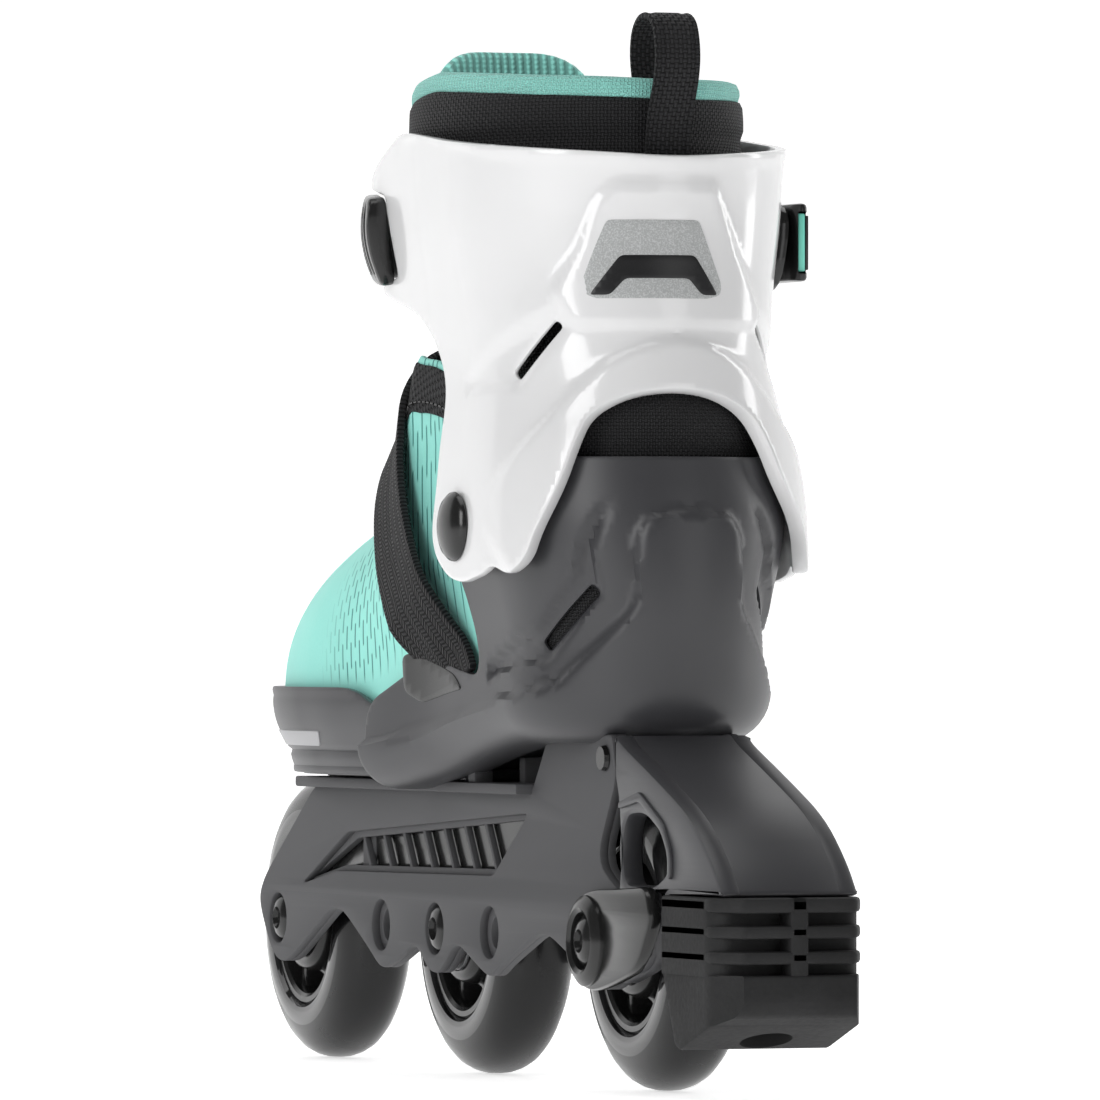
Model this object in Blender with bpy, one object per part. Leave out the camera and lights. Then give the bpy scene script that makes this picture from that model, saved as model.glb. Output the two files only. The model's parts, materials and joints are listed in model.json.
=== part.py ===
"""Size-adjustable inline skate, right foot: a hinged cuff on a moulded shell, a textile boot with a sliding
toe, a frame with three wheels, and a heel brake.

Origin: on the floor under the middle wheel, in the wheels' plane. +Y points to the toe, +X to the skate's
right (the buckle side), +Z up. Lengths are written in millimetres and scaled to metres by MM.
"""
import math

import bpy
import bmesh
from mathutils import Matrix, Vector

MM = 0.001
GAP = 0.3                      # clearance left between two pieces that touch

# Wheels and axles
WHEEL_R = 38.0
WHEEL_PITCH = 121.5            # distance from the middle axle to the outer ones
TREAD_HALF = 3.5
TYRE_HALF = 11.0
HUB_R = 23.5
BEARING_R = 11.0
BEARING_W = 7.0
AXLE_R = 4.0
AXLES = {"front": WHEEL_PITCH, "middle": 0.0, "rear": -WHEEL_PITCH}
SPARE_HOLES = (WHEEL_PITCH / 3, -WHEEL_PITCH / 3)
TURN_STEPS = 30

# Frame
PLATE_IN = 13.0
PLATE_OUT = 17.5
DECK_Z = (74.3, 76.8)
DECK_HALF = 22.0
HEAD_R = 6.2
FRONT_BOLT_Y, REAR_BOLT_Y = 61.0, -92.0

# Brake arm
LEG_IN = PLATE_OUT + GAP
LEG_OUT = 21.0

# Shell
SOLE_ROUND = 9.0
HEEL_Y = -95.0                 # where the heel's round plan meets the straight sides
HEEL_ARC = 60.0                # length of a quarter of that round plan
SHELL_WALL = 2.4

# Cuff
PIVOT_Y, PIVOT_Z = -86.0, 142.4
CUFF_Y = -80.0
CUFF_ARC = 68.0
CUFF_WALL = 2.6

# Toe
TOE_TRAVEL = 18.0

PARTS = "inline_skate"
CUTTERS = "cutters"
STEEL = ("steel", (0.62, 0.62, 0.63), 0.3, 1.0)
PLASTIC_GREY = ("grey_plastic", (0.045, 0.045, 0.05), 0.5, 0.0)
PLASTIC_BLACK = ("black_plastic", (0.01, 0.01, 0.011), 0.2, 0.0)
PLASTIC_WHITE = ("white_plastic", (0.8, 0.8, 0.8), 0.2, 0.0)
FRAME_GREY = ("frame_grey", (0.06, 0.06, 0.065), 0.6, 0.0)
RUBBER = ("rubber", (0.05, 0.05, 0.05), 0.7, 0.0)
TYRE_PU = ("tyre_pu", (0.02, 0.02, 0.022), 0.25, 0.0)
MINT_CLOTH = ("mint_cloth", (0.35, 0.8, 0.7), 0.9, 0.0)
MINT_PLASTIC = ("mint_plastic", (0.2, 0.75, 0.6), 0.3, 0.0)
BLACK_CLOTH = ("black_cloth", (0.012, 0.012, 0.013), 0.95, 0.0)
WHITE_CORD = ("white_cord", (0.8, 0.8, 0.8), 0.9, 0.0)
BAR_GREY = ("bar_grey", (0.35, 0.35, 0.36), 0.4, 0.0)


def clear_scene():
    for obj in list(bpy.data.objects):
        bpy.data.objects.remove(obj, do_unlink=True)
    for name in (PARTS, CUTTERS):
        bpy.context.scene.collection.children.link(bpy.data.collections.new(name))


def material(spec):
    name, colour, roughness, metallic = spec
    found = bpy.data.materials.get(name)
    if found:
        return found
    made = bpy.data.materials.new(name)
    made.use_nodes = True
    shader = made.node_tree.nodes["Principled BSDF"]
    shader.inputs["Base Color"].default_value = (*colour, 1)
    shader.inputs["Roughness"].default_value = roughness
    shader.inputs["Metallic"].default_value = metallic
    return made


def to_object(name, bm, finish=None, origin=(0, 0, 0)):
    """Writes bm, in millimetres, as an object whose origin is at a point given in millimetres."""
    bmesh.ops.remove_doubles(bm, verts=bm.verts, dist=0.002)
    bmesh.ops.recalc_face_normals(bm, faces=bm.faces)
    bmesh.ops.translate(bm, verts=bm.verts, vec=-Vector(origin))
    bmesh.ops.scale(bm, verts=bm.verts, vec=(MM, MM, MM))
    mesh = bpy.data.meshes.new(name)
    bm.to_mesh(mesh)
    bm.free()
    obj = bpy.data.objects.new(name, mesh)
    obj.location = Vector(origin) * MM
    if finish:
        bpy.data.collections[PARTS].objects.link(obj)
        mesh.materials.append(material(finish))
        mesh.shade_smooth()
        mesh.set_sharp_from_angle(angle=math.radians(35))
    else:
        bpy.data.collections[CUTTERS].objects.link(obj)
        obj.hide_render = True
        obj.display_type = "WIRE"
    return obj


def combine(obj, other, operation="DIFFERENCE"):
    """Cuts or joins with another object, and keeps the result as the object's own mesh."""
    modifier = obj.modifiers.new(operation.lower(), "BOOLEAN")
    modifier.operation = operation
    modifier.object = other
    bpy.context.view_layer.update()
    graph = bpy.context.evaluated_depsgraph_get()
    mesh = bpy.data.meshes.new_from_object(obj.evaluated_get(graph), depsgraph=graph)
    obj.modifiers.clear()
    obj.data = mesh
    bpy.data.objects.remove(other, do_unlink=True)
    return obj


# Shape makers, all in millimetres ---------------------------------------------------------------------

def curve_at(points, t):
    """A smooth curve through (t, value) pairs, held at its ends."""
    if t <= points[0][0]:
        return points[0][1]
    if t >= points[-1][0]:
        return points[-1][1]
    last = len(points) - 1
    i = max(k for k in range(last) if points[k][0] <= t)
    slopes = []
    for k in (i, i + 1):
        low, high = points[max(k - 1, 0)], points[min(k + 1, last)]
        slopes.append((high[1] - low[1]) / (high[0] - low[0]))
    (t0, y0), (t1, y1) = points[i], points[i + 1]
    span = t1 - t0
    h = (t - t0) / span
    return ((1 + 2 * h) * (1 - h) ** 2 * y0 + h * (1 - h) ** 2 * span * slopes[0]
            + h * h * (3 - 2 * h) * y1 + h * h * (h - 1) * span * slopes[1])


def outline_mesh(loops, half):
    """A flat outline with holes, in the XY plane, extruded by half to both sides."""
    curve = bpy.data.curves.new("outline", "CURVE")
    curve.dimensions = "2D"
    curve.fill_mode = "BOTH"
    curve.extrude = half
    for loop in loops:
        spline = curve.splines.new("POLY")
        spline.points.add(len(loop) - 1)
        spline.use_cyclic_u = True
        for point, (x, y) in zip(spline.points, loop):
            point.co = (x, y, 0, 1)
    obj = bpy.data.objects.new("outline", curve)
    bpy.context.scene.collection.objects.link(obj)
    bpy.context.view_layer.update()
    graph = bpy.context.evaluated_depsgraph_get()
    mesh = bpy.data.meshes.new_from_object(obj.evaluated_get(graph), depsgraph=graph)
    bpy.data.objects.remove(obj, do_unlink=True)
    bpy.data.curves.remove(curve)
    bm = bmesh.new()
    bm.from_mesh(mesh)
    bpy.data.meshes.remove(mesh)
    bmesh.ops.remove_doubles(bm, verts=bm.verts, dist=0.001)
    return bm


def ring(cx, cy, r, steps=12, turn=0.0):
    angles = [2 * math.pi * (k + turn) / steps for k in range(steps)]
    return [(cx + r * math.cos(a), cy + r * math.sin(a)) for a in angles]


def side_plate(loops, x0, x1):
    """An outline of (Y, Z) points with holes, extruded across from x0 to x1."""
    bm = outline_mesh(loops, (x1 - x0) / 2)
    turn = Matrix(((0, 0, 1, (x0 + x1) / 2), (1, 0, 0, 0), (0, 1, 0, 0), (0, 0, 0, 1)))
    bmesh.ops.transform(bm, verts=bm.verts, matrix=turn)
    return bm


def formed_plate(loops, thickness, step, place):
    """An outline in (u, v) extruded to a thickness, cut every step, and bent by place(u, v)."""
    bm = outline_mesh(loops, thickness / 2)
    cells = []
    for axis in (0, 1):
        low = min(v.co[axis] for v in bm.verts)
        high = max(v.co[axis] for v in bm.verts)
        count = max(1, round((high - low) / step[axis]))
        cells.append((low, (high - low) / count))
        for k in range(1, count):
            point = [0, 0, 0]
            point[axis] = low + (high - low) * k / count
            normal = [0, 0, 0]
            normal[axis] = 1
            bmesh.ops.bisect_plane(bm, geom=bm.verts[:] + bm.edges[:] + bm.faces[:], dist=0.05,
                                   plane_co=point, plane_no=normal)
    bm.normal_update()

    def cell_of(face):
        centre = face.calc_center_median()
        return [int((centre[axis] - low) / size) for axis, (low, size) in enumerate(cells)]

    inner = [e for e in bm.edges if len(e.link_faces) == 2
             and e.link_faces[0].normal.dot(e.link_faces[1].normal) > 0.99
             and abs(e.link_faces[0].normal.z) > 0.5
             and cell_of(e.link_faces[0]) == cell_of(e.link_faces[1])]
    bmesh.ops.dissolve_edges(bm, edges=inner, use_verts=True)
    bmesh.ops.triangulate(bm, faces=[f for f in bm.faces if len(f.verts) > 4])
    for vert in bm.verts:
        u, v, w = vert.co
        vert.co = bent(place, u, v, w)
    return bm


def bent(place, u, v, w):
    """The point at height w over the surface place(u, v)."""
    e = 0.25
    along = Vector(place(u + e, v)) - Vector(place(u - e, v))
    up = Vector(place(u, v + e)) - Vector(place(u, v - e))
    return Vector(place(u, v)) + w * along.cross(up).normalized()


def turned(profile, centre, steps=TURN_STEPS):
    """A closed or pole-to-pole profile of (x, r) points, turned about the X axis through centre."""
    bm = bmesh.new()
    closed = profile[0][1] > 0
    verts = [bm.verts.new((x, 0, -r)) for x, r in profile]
    edges = [bm.edges.new(pair) for pair in zip(verts, verts[1:])]
    if closed:
        edges.append(bm.edges.new((verts[-1], verts[0])))
    bmesh.ops.rotate(bm, verts=verts, cent=(0, 0, 0), matrix=Matrix.Rotation(math.pi / steps, 3, "X"))
    bmesh.ops.spin(bm, geom=verts + edges, cent=(0, 0, 0), axis=(1, 0, 0), angle=2 * math.pi,
                   steps=steps, use_merge=True)
    bmesh.ops.translate(bm, verts=bm.verts, vec=centre)
    return bm


def bar(low, high):
    bm = bmesh.new()
    bmesh.ops.create_cube(bm, size=1)
    size = [b - a for a, b in zip(low, high)]
    bmesh.ops.scale(bm, verts=bm.verts, vec=size)
    bmesh.ops.translate(bm, verts=bm.verts, vec=[(a + b) / 2 for a, b in zip(low, high)])
    return bm


def rod(start, end, r, steps=16, r_end=None):
    bm = bmesh.new()
    start, end = Vector(start), Vector(end)
    run = end - start
    bmesh.ops.create_cone(bm, cap_ends=True, segments=steps, radius1=r, radius2=r_end or r,
                          depth=run.length)
    turn = run.to_track_quat("Z", "Y").to_matrix().to_4x4()
    bmesh.ops.transform(bm, verts=bm.verts, matrix=Matrix.Translation((start + end) / 2) @ turn)
    return bm


# Wheels -----------------------------------------------------------------------------------------------

def make_wheel(place, y):
    centre = (0, y, WHEEL_R)
    flat = WHEEL_R / math.cos(math.pi / TURN_STEPS)     # so that a facet, not an edge, meets the floor
    half = [(TREAD_HALF, flat), (7.5, 35.6), (10.0, 31.0), (TYRE_HALF, 26.0), (9.0, HUB_R + GAP)]
    tyre = half + [(-x, r) for x, r in reversed(half)]
    to_object(f"tyre_{place}", turned(tyre, centre), TYRE_PU, centre)
    seat = BEARING_R + GAP / 2
    hub = [(8.6, HUB_R), (8.6, 20.5), (3.0, 19.5), (3.0, 15.0), (10.5, 14.0), (10.5, seat), (4.2, seat),
           (4.2, 9.0)]
    hub += [(-x, r) for x, r in reversed(hub)]
    wheel = to_object(f"hub_{place}", turned(hub, centre, 16), PLASTIC_BLACK, centre)
    for k in range(5):
        a = 2 * math.pi * k / 5
        spot = (y + 17.2 * math.sin(a), WHEEL_R + 17.2 * math.cos(a))
        hole = rod((-6, *spot), (6, *spot), 1.9, 6)
        combine(wheel, to_object("cutter", hole))
    for side, sign in (("left", -1), ("right", 1)):
        x0, x1 = sign * 4.5, sign * (4.5 + BEARING_W)
        bearing = [(x0, BEARING_R), (x0, AXLE_R + 0.15), (x1, AXLE_R + 0.15), (x1, BEARING_R)]
        to_object(f"bearing_{place}_{side}", turned(bearing, centre, 16), STEEL, centre)
    spacer = [(-4.2, 6.0), (-4.2, AXLE_R + 0.15), (4.2, AXLE_R + 0.15), (4.2, 6.0)]
    to_object(f"spacer_{place}", turned(spacer, centre, 16), STEEL, centre)


def make_axle(place, y):
    """A headed sleeve from the left and a screw into it from the right, with its head outside the wall."""
    outer = LEG_OUT + 0.4 if place == "rear" else PLATE_OUT - 2.2
    tip = outer - 5.0
    sleeve = [(-outer - 2.0, 0), (-outer - 2.0, 3.6), (-outer - 1.0, 5.4), (-outer, HEAD_R - 0.2),
              (-outer, AXLE_R - 0.1), (tip, AXLE_R - 0.1), (tip, 2.6), (-6.0, 2.6), (-6.0, 0)]
    to_object(f"axle_{place}", turned(sleeve, (0, y, WHEEL_R), 16), STEEL, (0, y, WHEEL_R))
    screw = [(-5.0, 0), (-5.0, 2.3), (outer, 2.3), (outer, HEAD_R - 0.2), (outer + 1.0, 5.4),
             (outer + 2.0, 3.6), (outer + 2.0, 0)]
    to_object(f"axle_screw_{place}", turned(screw, (0, y, WHEEL_R), 16), STEEL, (0, y, WHEEL_R))


# Frame ------------------------------------------------------------------------------------------------

def lobe(y, low, r, spread):
    """The round foot of the plate under an axle position."""
    angles = [math.radians(a) for a in (180 + spread, 235, 270, 305, 360 - spread)]
    return [(y - r * math.cos(a), low + r + r * math.sin(a)) for a in angles]


def plate_outline():
    front = [(-71.6, 74.6), (90.7, 74.6), (132.7, 49), (137.4, 43), (127, 30), (121.5, 26.5), (112.6, 27.4)]
    lobes = [(75, 43), (46, 30), (40.5, 27), (35, 28), (12, 33), (5, 28), (0, 26.7), (-5, 28), (-16, 34.5),
             (-36, 28), (-42, 26.8), (-47, 29), (-79, 39.5)]
    heel = [(-110, 30), (-121.5, 25), (-131, 28), (-133, 50.6), (-117, 58), (-131, 79), (-128, 90),
            (-83, 89)]
    return front + lobes + heel


def window_outline():
    return [(99, 49), (64, 60.4), (-66, 67.4), (-41, 54.6), (72.6, 53.5)]


def make_frame():
    holes = [window_outline()]
    holes += [ring(y, WHEEL_R, AXLE_R + 0.1) for y in (*AXLES.values(), *SPARE_HOLES)]
    frame = None
    for sign in (-1, 1):
        x0, x1 = sorted((sign * PLATE_IN, sign * PLATE_OUT))
        plate = to_object("frame_plate", side_plate([plate_outline(), *holes], x0, x1))
        for y in (WHEEL_PITCH, 0.0, *SPARE_HOLES):
            seat = rod((sign * (PLATE_OUT - 2.5), y, WHEEL_R), (sign * 20, y, WHEEL_R), HEAD_R + 0.4)
            combine(plate, to_object("cutter", seat))
        if frame is None:
            frame = plate
        else:
            combine(frame, plate, "UNION")
    inner = PLATE_IN + 0.5
    joins = [
        bar((-DECK_HALF, 24, DECK_Z[0] - 0.4), (DECK_HALF, 95, DECK_Z[1])),
        bar((-DECK_HALF, -70, DECK_Z[0] - 0.4), (-inner, 25, DECK_Z[1])),
        bar((inner, -70, DECK_Z[0] - 0.4), (DECK_HALF, 25, DECK_Z[1])),
        bar((-inner, -69, DECK_Z[0] - 0.4), (inner, -24, DECK_Z[1])),
        bar((-inner, 56, 48), (inner, 66, 75)),
        bar((-inner, -66, 48), (inner, -56, 75)),
        bar((-inner, -100, 83.5), (inner, -84, 88)),
        bar((-12, -52, 76), (12, -48, 83.4)),
    ]
    for block in joins:
        combine(frame, to_object("join", block), "UNION")
    for y, low, top in ((FRONT_BOLT_Y, 45, 80), (REAR_BOLT_Y, 80, 92)):
        combine(frame, to_object("cutter", rod((0, y, low), (0, y, top), 3.4)))
    bpy.data.collections[CUTTERS].objects.unlink(frame)
    bpy.data.collections[PARTS].objects.link(frame)
    frame.name = "frame"
    frame.hide_render = False
    frame.display_type = "TEXTURED"
    frame.data.materials.append(material(FRAME_GREY))


def make_frame_bolts():
    spots = (("frame_bolt_front", FRONT_BOLT_Y, 50, 78.5), ("frame_bolt_rear", REAR_BOLT_Y, 80.5, 92.6))
    for name, y, low, high in spots:
        bolt = to_object(name, rod((0, y, low), (0, y, high), 3.0, 12), STEEL, (0, y, low))
        head = to_object("head", rod((0, y, high - 0.2), (0, y, high + 1.3), 6.0, 12))
        combine(bolt, head, "UNION")


# Brake ------------------------------------------------------------------------------------------------

def make_brake():
    spine = [(-131.6, 90), (-136, 87), (-160, 78.6), (-183.5, 69.5), (-198, 58), (-204, 51), (-170, 51),
             (-166, 62), (-150, 71), (-137, 76.5), (-134, 78)]
    arm = to_object("brake_arm", side_plate([spine], -14.5, 14.5), PLASTIC_GREY)
    cheek = [(-131.6, 90), (-136, 87), (-160, 78.6), (-183.5, 69.5), (-198, 58), (-204, 51), (-167.6, 51),
             (-165, 46),
             (-154, 32), (-134, 27.5), (-134, 50), (-136, 60), (-134, 74), (-131.6, 79.5)]
    eye = [(-137, 64), (-140, 69.5), (-152, 70), (-167, 63), (-167, 56), (-158, 52.5), (-140, 53)]
    leg = [(-109.5, 38), (-113, 29), (-121.5, 25.5), (-135, 27.5), (-155, 32), (-164, 45), (-160, 52),
           (-140, 51), (-121.5, 50.5), (-113, 47)]
    bore = ring(-WHEEL_PITCH, WHEEL_R, AXLE_R + 0.2)
    for sign in (-1, 1):
        x0, x1 = sorted((sign * 12.4, sign * 17.9))
        combine(arm, to_object("join", side_plate([cheek, eye], x0, x1)), "UNION")
        x0, x1 = sorted((sign * LEG_IN, sign * LEG_OUT))
        x_in = sign * 16.5
        foot = [(-135.5, 28), (-155, 32), (-164, 45), (-160, 52), (-140, 51), (-135.5, 50.5)]
        low, high = sorted((x_in, sign * (LEG_OUT - 0.2)))
        combine(arm, to_object("join", side_plate([foot], low, high)), "UNION")
        combine(arm, to_object("join", side_plate([leg, bore], x0, x1)), "UNION")
        side = "left" if sign < 0 else "right"
        low, high = sorted((sign * (LEG_OUT + GAP), sign * (LEG_OUT + 2.6)))
        cup = [ring(-WHEEL_PITCH, WHEEL_R, 11.5, 16), ring(-WHEEL_PITCH, WHEEL_R, HEAD_R + 0.5, 16)]
        to_object(f"axle_cap_{side}", side_plate(cup, low, high), PLASTIC_BLACK)
        x_head = sign * (PLATE_OUT + GAP)
        screw = [(sign * (PLATE_IN + 1), 0), (sign * (PLATE_IN + 1), 1.6), (x_head, 1.6), (x_head, 3.4),
                 (x_head + sign * 1.2, 3.0), (x_head + sign * 1.2, 0)]
        hole = rod((sign * 10, -124, 84), (sign * 20, -124, 84), 1.9, 12)
        combine(bpy.data.objects["frame"], to_object("cutter", hole))
        to_object(f"brake_screw_{side}", turned(screw, (0, -124, 84), 12), STEEL, (0, -124, 84))
    pad_side = [(-203.5, 50.6), (-168, 50.6), (-168, 32), (-177, 13), (-180, 12.4), (-209, 22), (-211, 25),
                (-210.5, 48)]
    pad = to_object("brake_pad", side_plate([pad_side], -20, 20), RUBBER)
    for sign in (-1, 1):
        wedge = rod((sign * 33.6, -215, 0), (sign * 33.6, -215, 70), 19, 24)
        combine(pad, to_object("cutter", wedge))
        for z in (32.5, 41.0):
            slot = bar((sign * 2.2 if sign > 0 else -40, -230, z), (40 if sign > 0 else -2.2, -186, z + 3.6))
            combine(pad, to_object("cutter", slot))
    foot, run = Vector((0, -188.0, 30.2)), Vector((0, 6.3, 27.2))
    combine(pad, to_object("cutter", rod(foot - run, foot + run * 0.02, 7.0)))
    combine(pad, to_object("cutter", rod(foot - run * 0.1, foot + run * 1.2, 2.6, 12)))
    combine(arm, to_object("cutter", rod(foot + run * 0.4, foot + run * 1.04, 2.6, 12)))
    screw = to_object("brake_pad_screw", rod(foot, foot + run, 2.1, 12), STEEL)
    combine(screw, to_object("head", rod(foot - run * 0.07, foot, 4.6, 12)), "UNION")


# Shell ------------------------------------------------------------------------------------------------

SOLE_LINE = [(-140, 91), (-90, 91), (-60, 87.5), (-30, 81.5), (0, 77.9), (130, 77.6)]
REAR_LINE = [(91, -131), (97, -133), (104, -134.8), (125, -138), (145, -137), (160, -133.4)]
HALF_LOW = [(-95, 31.5), (-60, 32), (-40, 33), (-10, 38), (20, 41), (50, 42)]
HALF_HIGH = [(100, 0), (113, 0.3), (124, 2.2), (142, 6.2), (160, 5.0)]


def sole_z(y):
    return curve_at(SOLE_LINE, y)


def shell_half(y, z):
    return curve_at(HALF_LOW, y) + curve_at(HALF_HIGH, z)


def shell_place(u, v):
    """u runs round the plan from the rear centre, v up the wall from the top of the sole's rounding."""
    run = abs(u)
    angle = min(run / HEEL_ARC, 1) * math.pi / 2
    inset, z_round = 0.0, 0.0
    if v < 0:
        bend = min(-v / SOLE_ROUND, math.pi / 2)
        z_round = -SOLE_ROUND * math.sin(bend)
        inset = SOLE_ROUND * (1 - math.cos(bend)) + max(-v - SOLE_ROUND * math.pi / 2, 0)
    y = HEEL_Y + max(run - HEEL_ARC, 0)
    base = sole_z(HEEL_Y if run < HEEL_ARC else y) + SOLE_ROUND
    z = base + z_round + max(v, 0)
    half = max(shell_half(y, z) - inset, 0.4)
    depth = max(HEEL_Y - curve_at(REAR_LINE, z) - inset, 0.4)
    if run < HEEL_ARC:
        y = HEEL_Y - depth * math.cos(angle)
    return (math.copysign(half * math.sin(angle), u), y, z)


def shell_uv(y, z):
    """The (u, v) of a point of the left or right wall seen from the side."""
    if y < HEEL_Y:
        depth = HEEL_Y - curve_at(REAR_LINE, z)
        run = HEEL_ARC * math.acos(min(1, (HEEL_Y - y) / depth)) / (math.pi / 2)
    else:
        run = HEEL_ARC + y - HEEL_Y
    return run, z - sole_z(max(y, HEEL_Y)) - SOLE_ROUND


def both_sides(points):
    """A (u, v) outline from the front edge round the rear to the front edge, from its right half."""
    return points + [(-u, v) for u, v in reversed(points)]


def shell_edge():
    sides = [(-8, 97), (-41, 110), (-56, 106.5), (-75, 104), (-73, 118), (-67, 140), (-68, 152), (-74, 158),
             (-100, 160), (-118, 160)]
    wall = [(HEEL_ARC - HEEL_Y - 5, -22)] + [shell_uv(y, z) for y, z in sides]
    return both_sides(wall)


def make_shell():
    shell = to_object("shell", formed_plate([shell_edge()], SHELL_WALL, (14, 12), shell_place), PLASTIC_GREY)
    heel = [(20 * math.sin(a), -112 - 10 * math.cos(a)) for a in (math.pi * k / 8 - math.pi / 2
                                                                   for k in range(9))]
    sole = heel + [(24, -30), (27, -9), (-27, -9), (-24, -30)]

    def flat(x, y):
        return (x, y, sole_z(y) + 0.02)

    combine(shell, to_object("join", formed_plate([sole], 2.2, (60, 14), flat)), "UNION")
    combine(shell, to_object("join", bar((-20, -30, 77.1), (20, 75, 79.9))), "UNION")
    for r, low in ((3.4, 70), (6.4, 78.1)):
        combine(shell, to_object("cutter", rod((0, FRONT_BOLT_Y, low), (0, FRONT_BOLT_Y, 84), r)))
    combine(shell, to_object("cutter", bar((-14, -29, 70), (14, -22, 79.5))))
    for sign in (-1, 1):
        slot = [(-121, 110.5), (-124, 113), (-131, 125), (-128, 127)]
        x0, x1 = sorted((sign * 8, sign * 45))
        combine(shell, to_object("cutter", side_plate([slot], x0, x1)))
        hole = rod((sign * 25, PIVOT_Y, PIVOT_Z), (sign * 50, PIVOT_Y, PIVOT_Z), 4.2)
        combine(shell, to_object("cutter", hole))
    combine(shell, to_object("cutter", rod((0, REAR_BOLT_Y, 80), (0, REAR_BOLT_Y, 105), 3.4)))
    return shell


# Cuff -------------------------------------------------------------------------------------------------

CUFF_HALF = [(125, 42.2), (142, 42.2), (160, 40.8), (180, 37.8), (200, 39.4), (220, 42.2), (235, 43.4),
             (245, 43.8)]
CUFF_REAR = [(125, -142.6), (145, -141.6), (160, -137.8), (170, -133.5), (177, -131), (190, -127.5), (208, -125),
             (222, -125), (236, -127)]
CUFF_Y = [(125, -95), (150, -94), (170, -89), (190, -84), (235, -80)]
CUFF_FRONT_CURL = [(-60, 0), (-45, 0.6), (-25, 2.5), (-5, 6.5)]


def cuff_place(u, z):
    run = abs(u)
    angle = min(run / CUFF_ARC, 1) * math.pi / 2
    middle = curve_at(CUFF_Y, z)
    y = middle + max(run - CUFF_ARC, 0)
    half = curve_at(CUFF_HALF, z) - curve_at(CUFF_FRONT_CURL, y)
    if run < CUFF_ARC:
        y = middle - (middle - curve_at(CUFF_REAR, z)) * math.cos(angle)
    return (math.copysign(half * math.sin(angle), u), y, z)


def cuff_uv(y, z):
    middle = curve_at(CUFF_Y, z)
    if y < middle:
        depth = middle - curve_at(CUFF_REAR, z)
        return CUFF_ARC * math.acos(min(1, (middle - y) / depth)) / (math.pi / 2), z
    return CUFF_ARC + y - middle, z


def cuff_edge():
    """The right half's edge from the top rear corner forward, down and back under the ear."""
    side = [(-49, 244), (-40, 241.5), (-15, 234), (-12.5, 230.5), (-31, 228), (-35, 207.5), (-14, 205.5),
            (-14, 203.5), (-25, 201.3), (-40, 199), (-51, 196), (-60, 190), (-66, 181), (-68.5, 169),
            (-69.5, 155), (-67.5, 141), (-71, 134.5), (-80, 129.3), (-91, 128), (-102, 130), (-107, 132.3),
            (-114, 129.8), (-120, 133.5), (-122.4, 141), (-123.8, 154), (-125.4, 162), (-126.6, 171)]
    return [cuff_uv(y, z) for y, z in side]


def make_cuff():
    right = [(0, 235.5), (40, 238)] + cuff_edge() + [(14, 176)]
    outline = right + [(-u, v) for u, v in reversed(right[1:])]
    slots = []
    for sign in (-1, 1):
        slots.append([(sign * u, z) for u, z in (cuff_uv(-113, 194), cuff_uv(-111.5, 196),
                                                  cuff_uv(-99.5, 182), cuff_uv(-101, 180))])
    cuff = to_object("cuff", formed_plate([outline, *slots], CUFF_WALL, (15, 14), cuff_place),
                     PLASTIC_WHITE, (0, PIVOT_Y, PIVOT_Z))
    for sign in (-1, 1):
        hole = rod((sign * 30, PIVOT_Y, PIVOT_Z), (sign * 50, PIVOT_Y, PIVOT_Z), 4.2)
        combine(cuff, to_object("cutter", hole))
        side = "left" if sign < 0 else "right"
        face = sign * (curve_at(CUFF_HALF, PIVOT_Z) + CUFF_WALL / 2 + 0.35)
        inner = sign * 35.6
        bolt = [(inner, 0), (inner, 3.9), (face, 3.9), (face, 8.3), (face + sign * 1.2, 7.6),
                (face + sign * 2.4, 5.0), (face + sign * 3.0, 0)]
        centre = (0, PIVOT_Y, PIVOT_Z)
        to_object(f"pivot_bolt_{side}", turned(bolt, centre, 20), PLASTIC_BLACK, centre)
        nut = [(sign * 33.0, 0), (sign * 33.0, 6.5), (sign * 35.3, 6.5), (sign * 35.3, 0)]
        to_object(f"pivot_nut_{side}", turned(nut, centre, 12), STEEL, centre)


# Toe ---------------------------------------------------------------------------------------------------

TOE_Y = 40.0                   # where the toe's round plan meets the sides
TOE_HALF, TOE_DEPTH = 40.5, 65.0
TOE_ARC = 84.0
TOE_SIDES = [(-28, 32.0), (-18, 33.6), (-8, 35.2), (6, 37.4), (22, 39.6), (40, TOE_HALF)]
TOE_INSET = [(78.6, 8.5), (80, 6.0), (84, 4.6), (85, 4.3), (90, 1.7), (93, 0.6), (97, 0), (101, 0.5)]
TOE_WALL = 2.2
TOE_REAR = -28.0


def toe_place(u, z):
    run = abs(u)
    angle = min(run / TOE_ARC, 1) * math.pi / 2
    inset = curve_at(TOE_INSET, z)
    y = TOE_Y - max(run - TOE_ARC, 0)
    half = (TOE_HALF if run < TOE_ARC else curve_at(TOE_SIDES, y)) - inset
    if run < TOE_ARC:
        y = TOE_Y + (TOE_DEPTH - inset) * math.cos(angle)
    return (math.copysign(half * math.sin(angle), -u), y, z)


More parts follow.
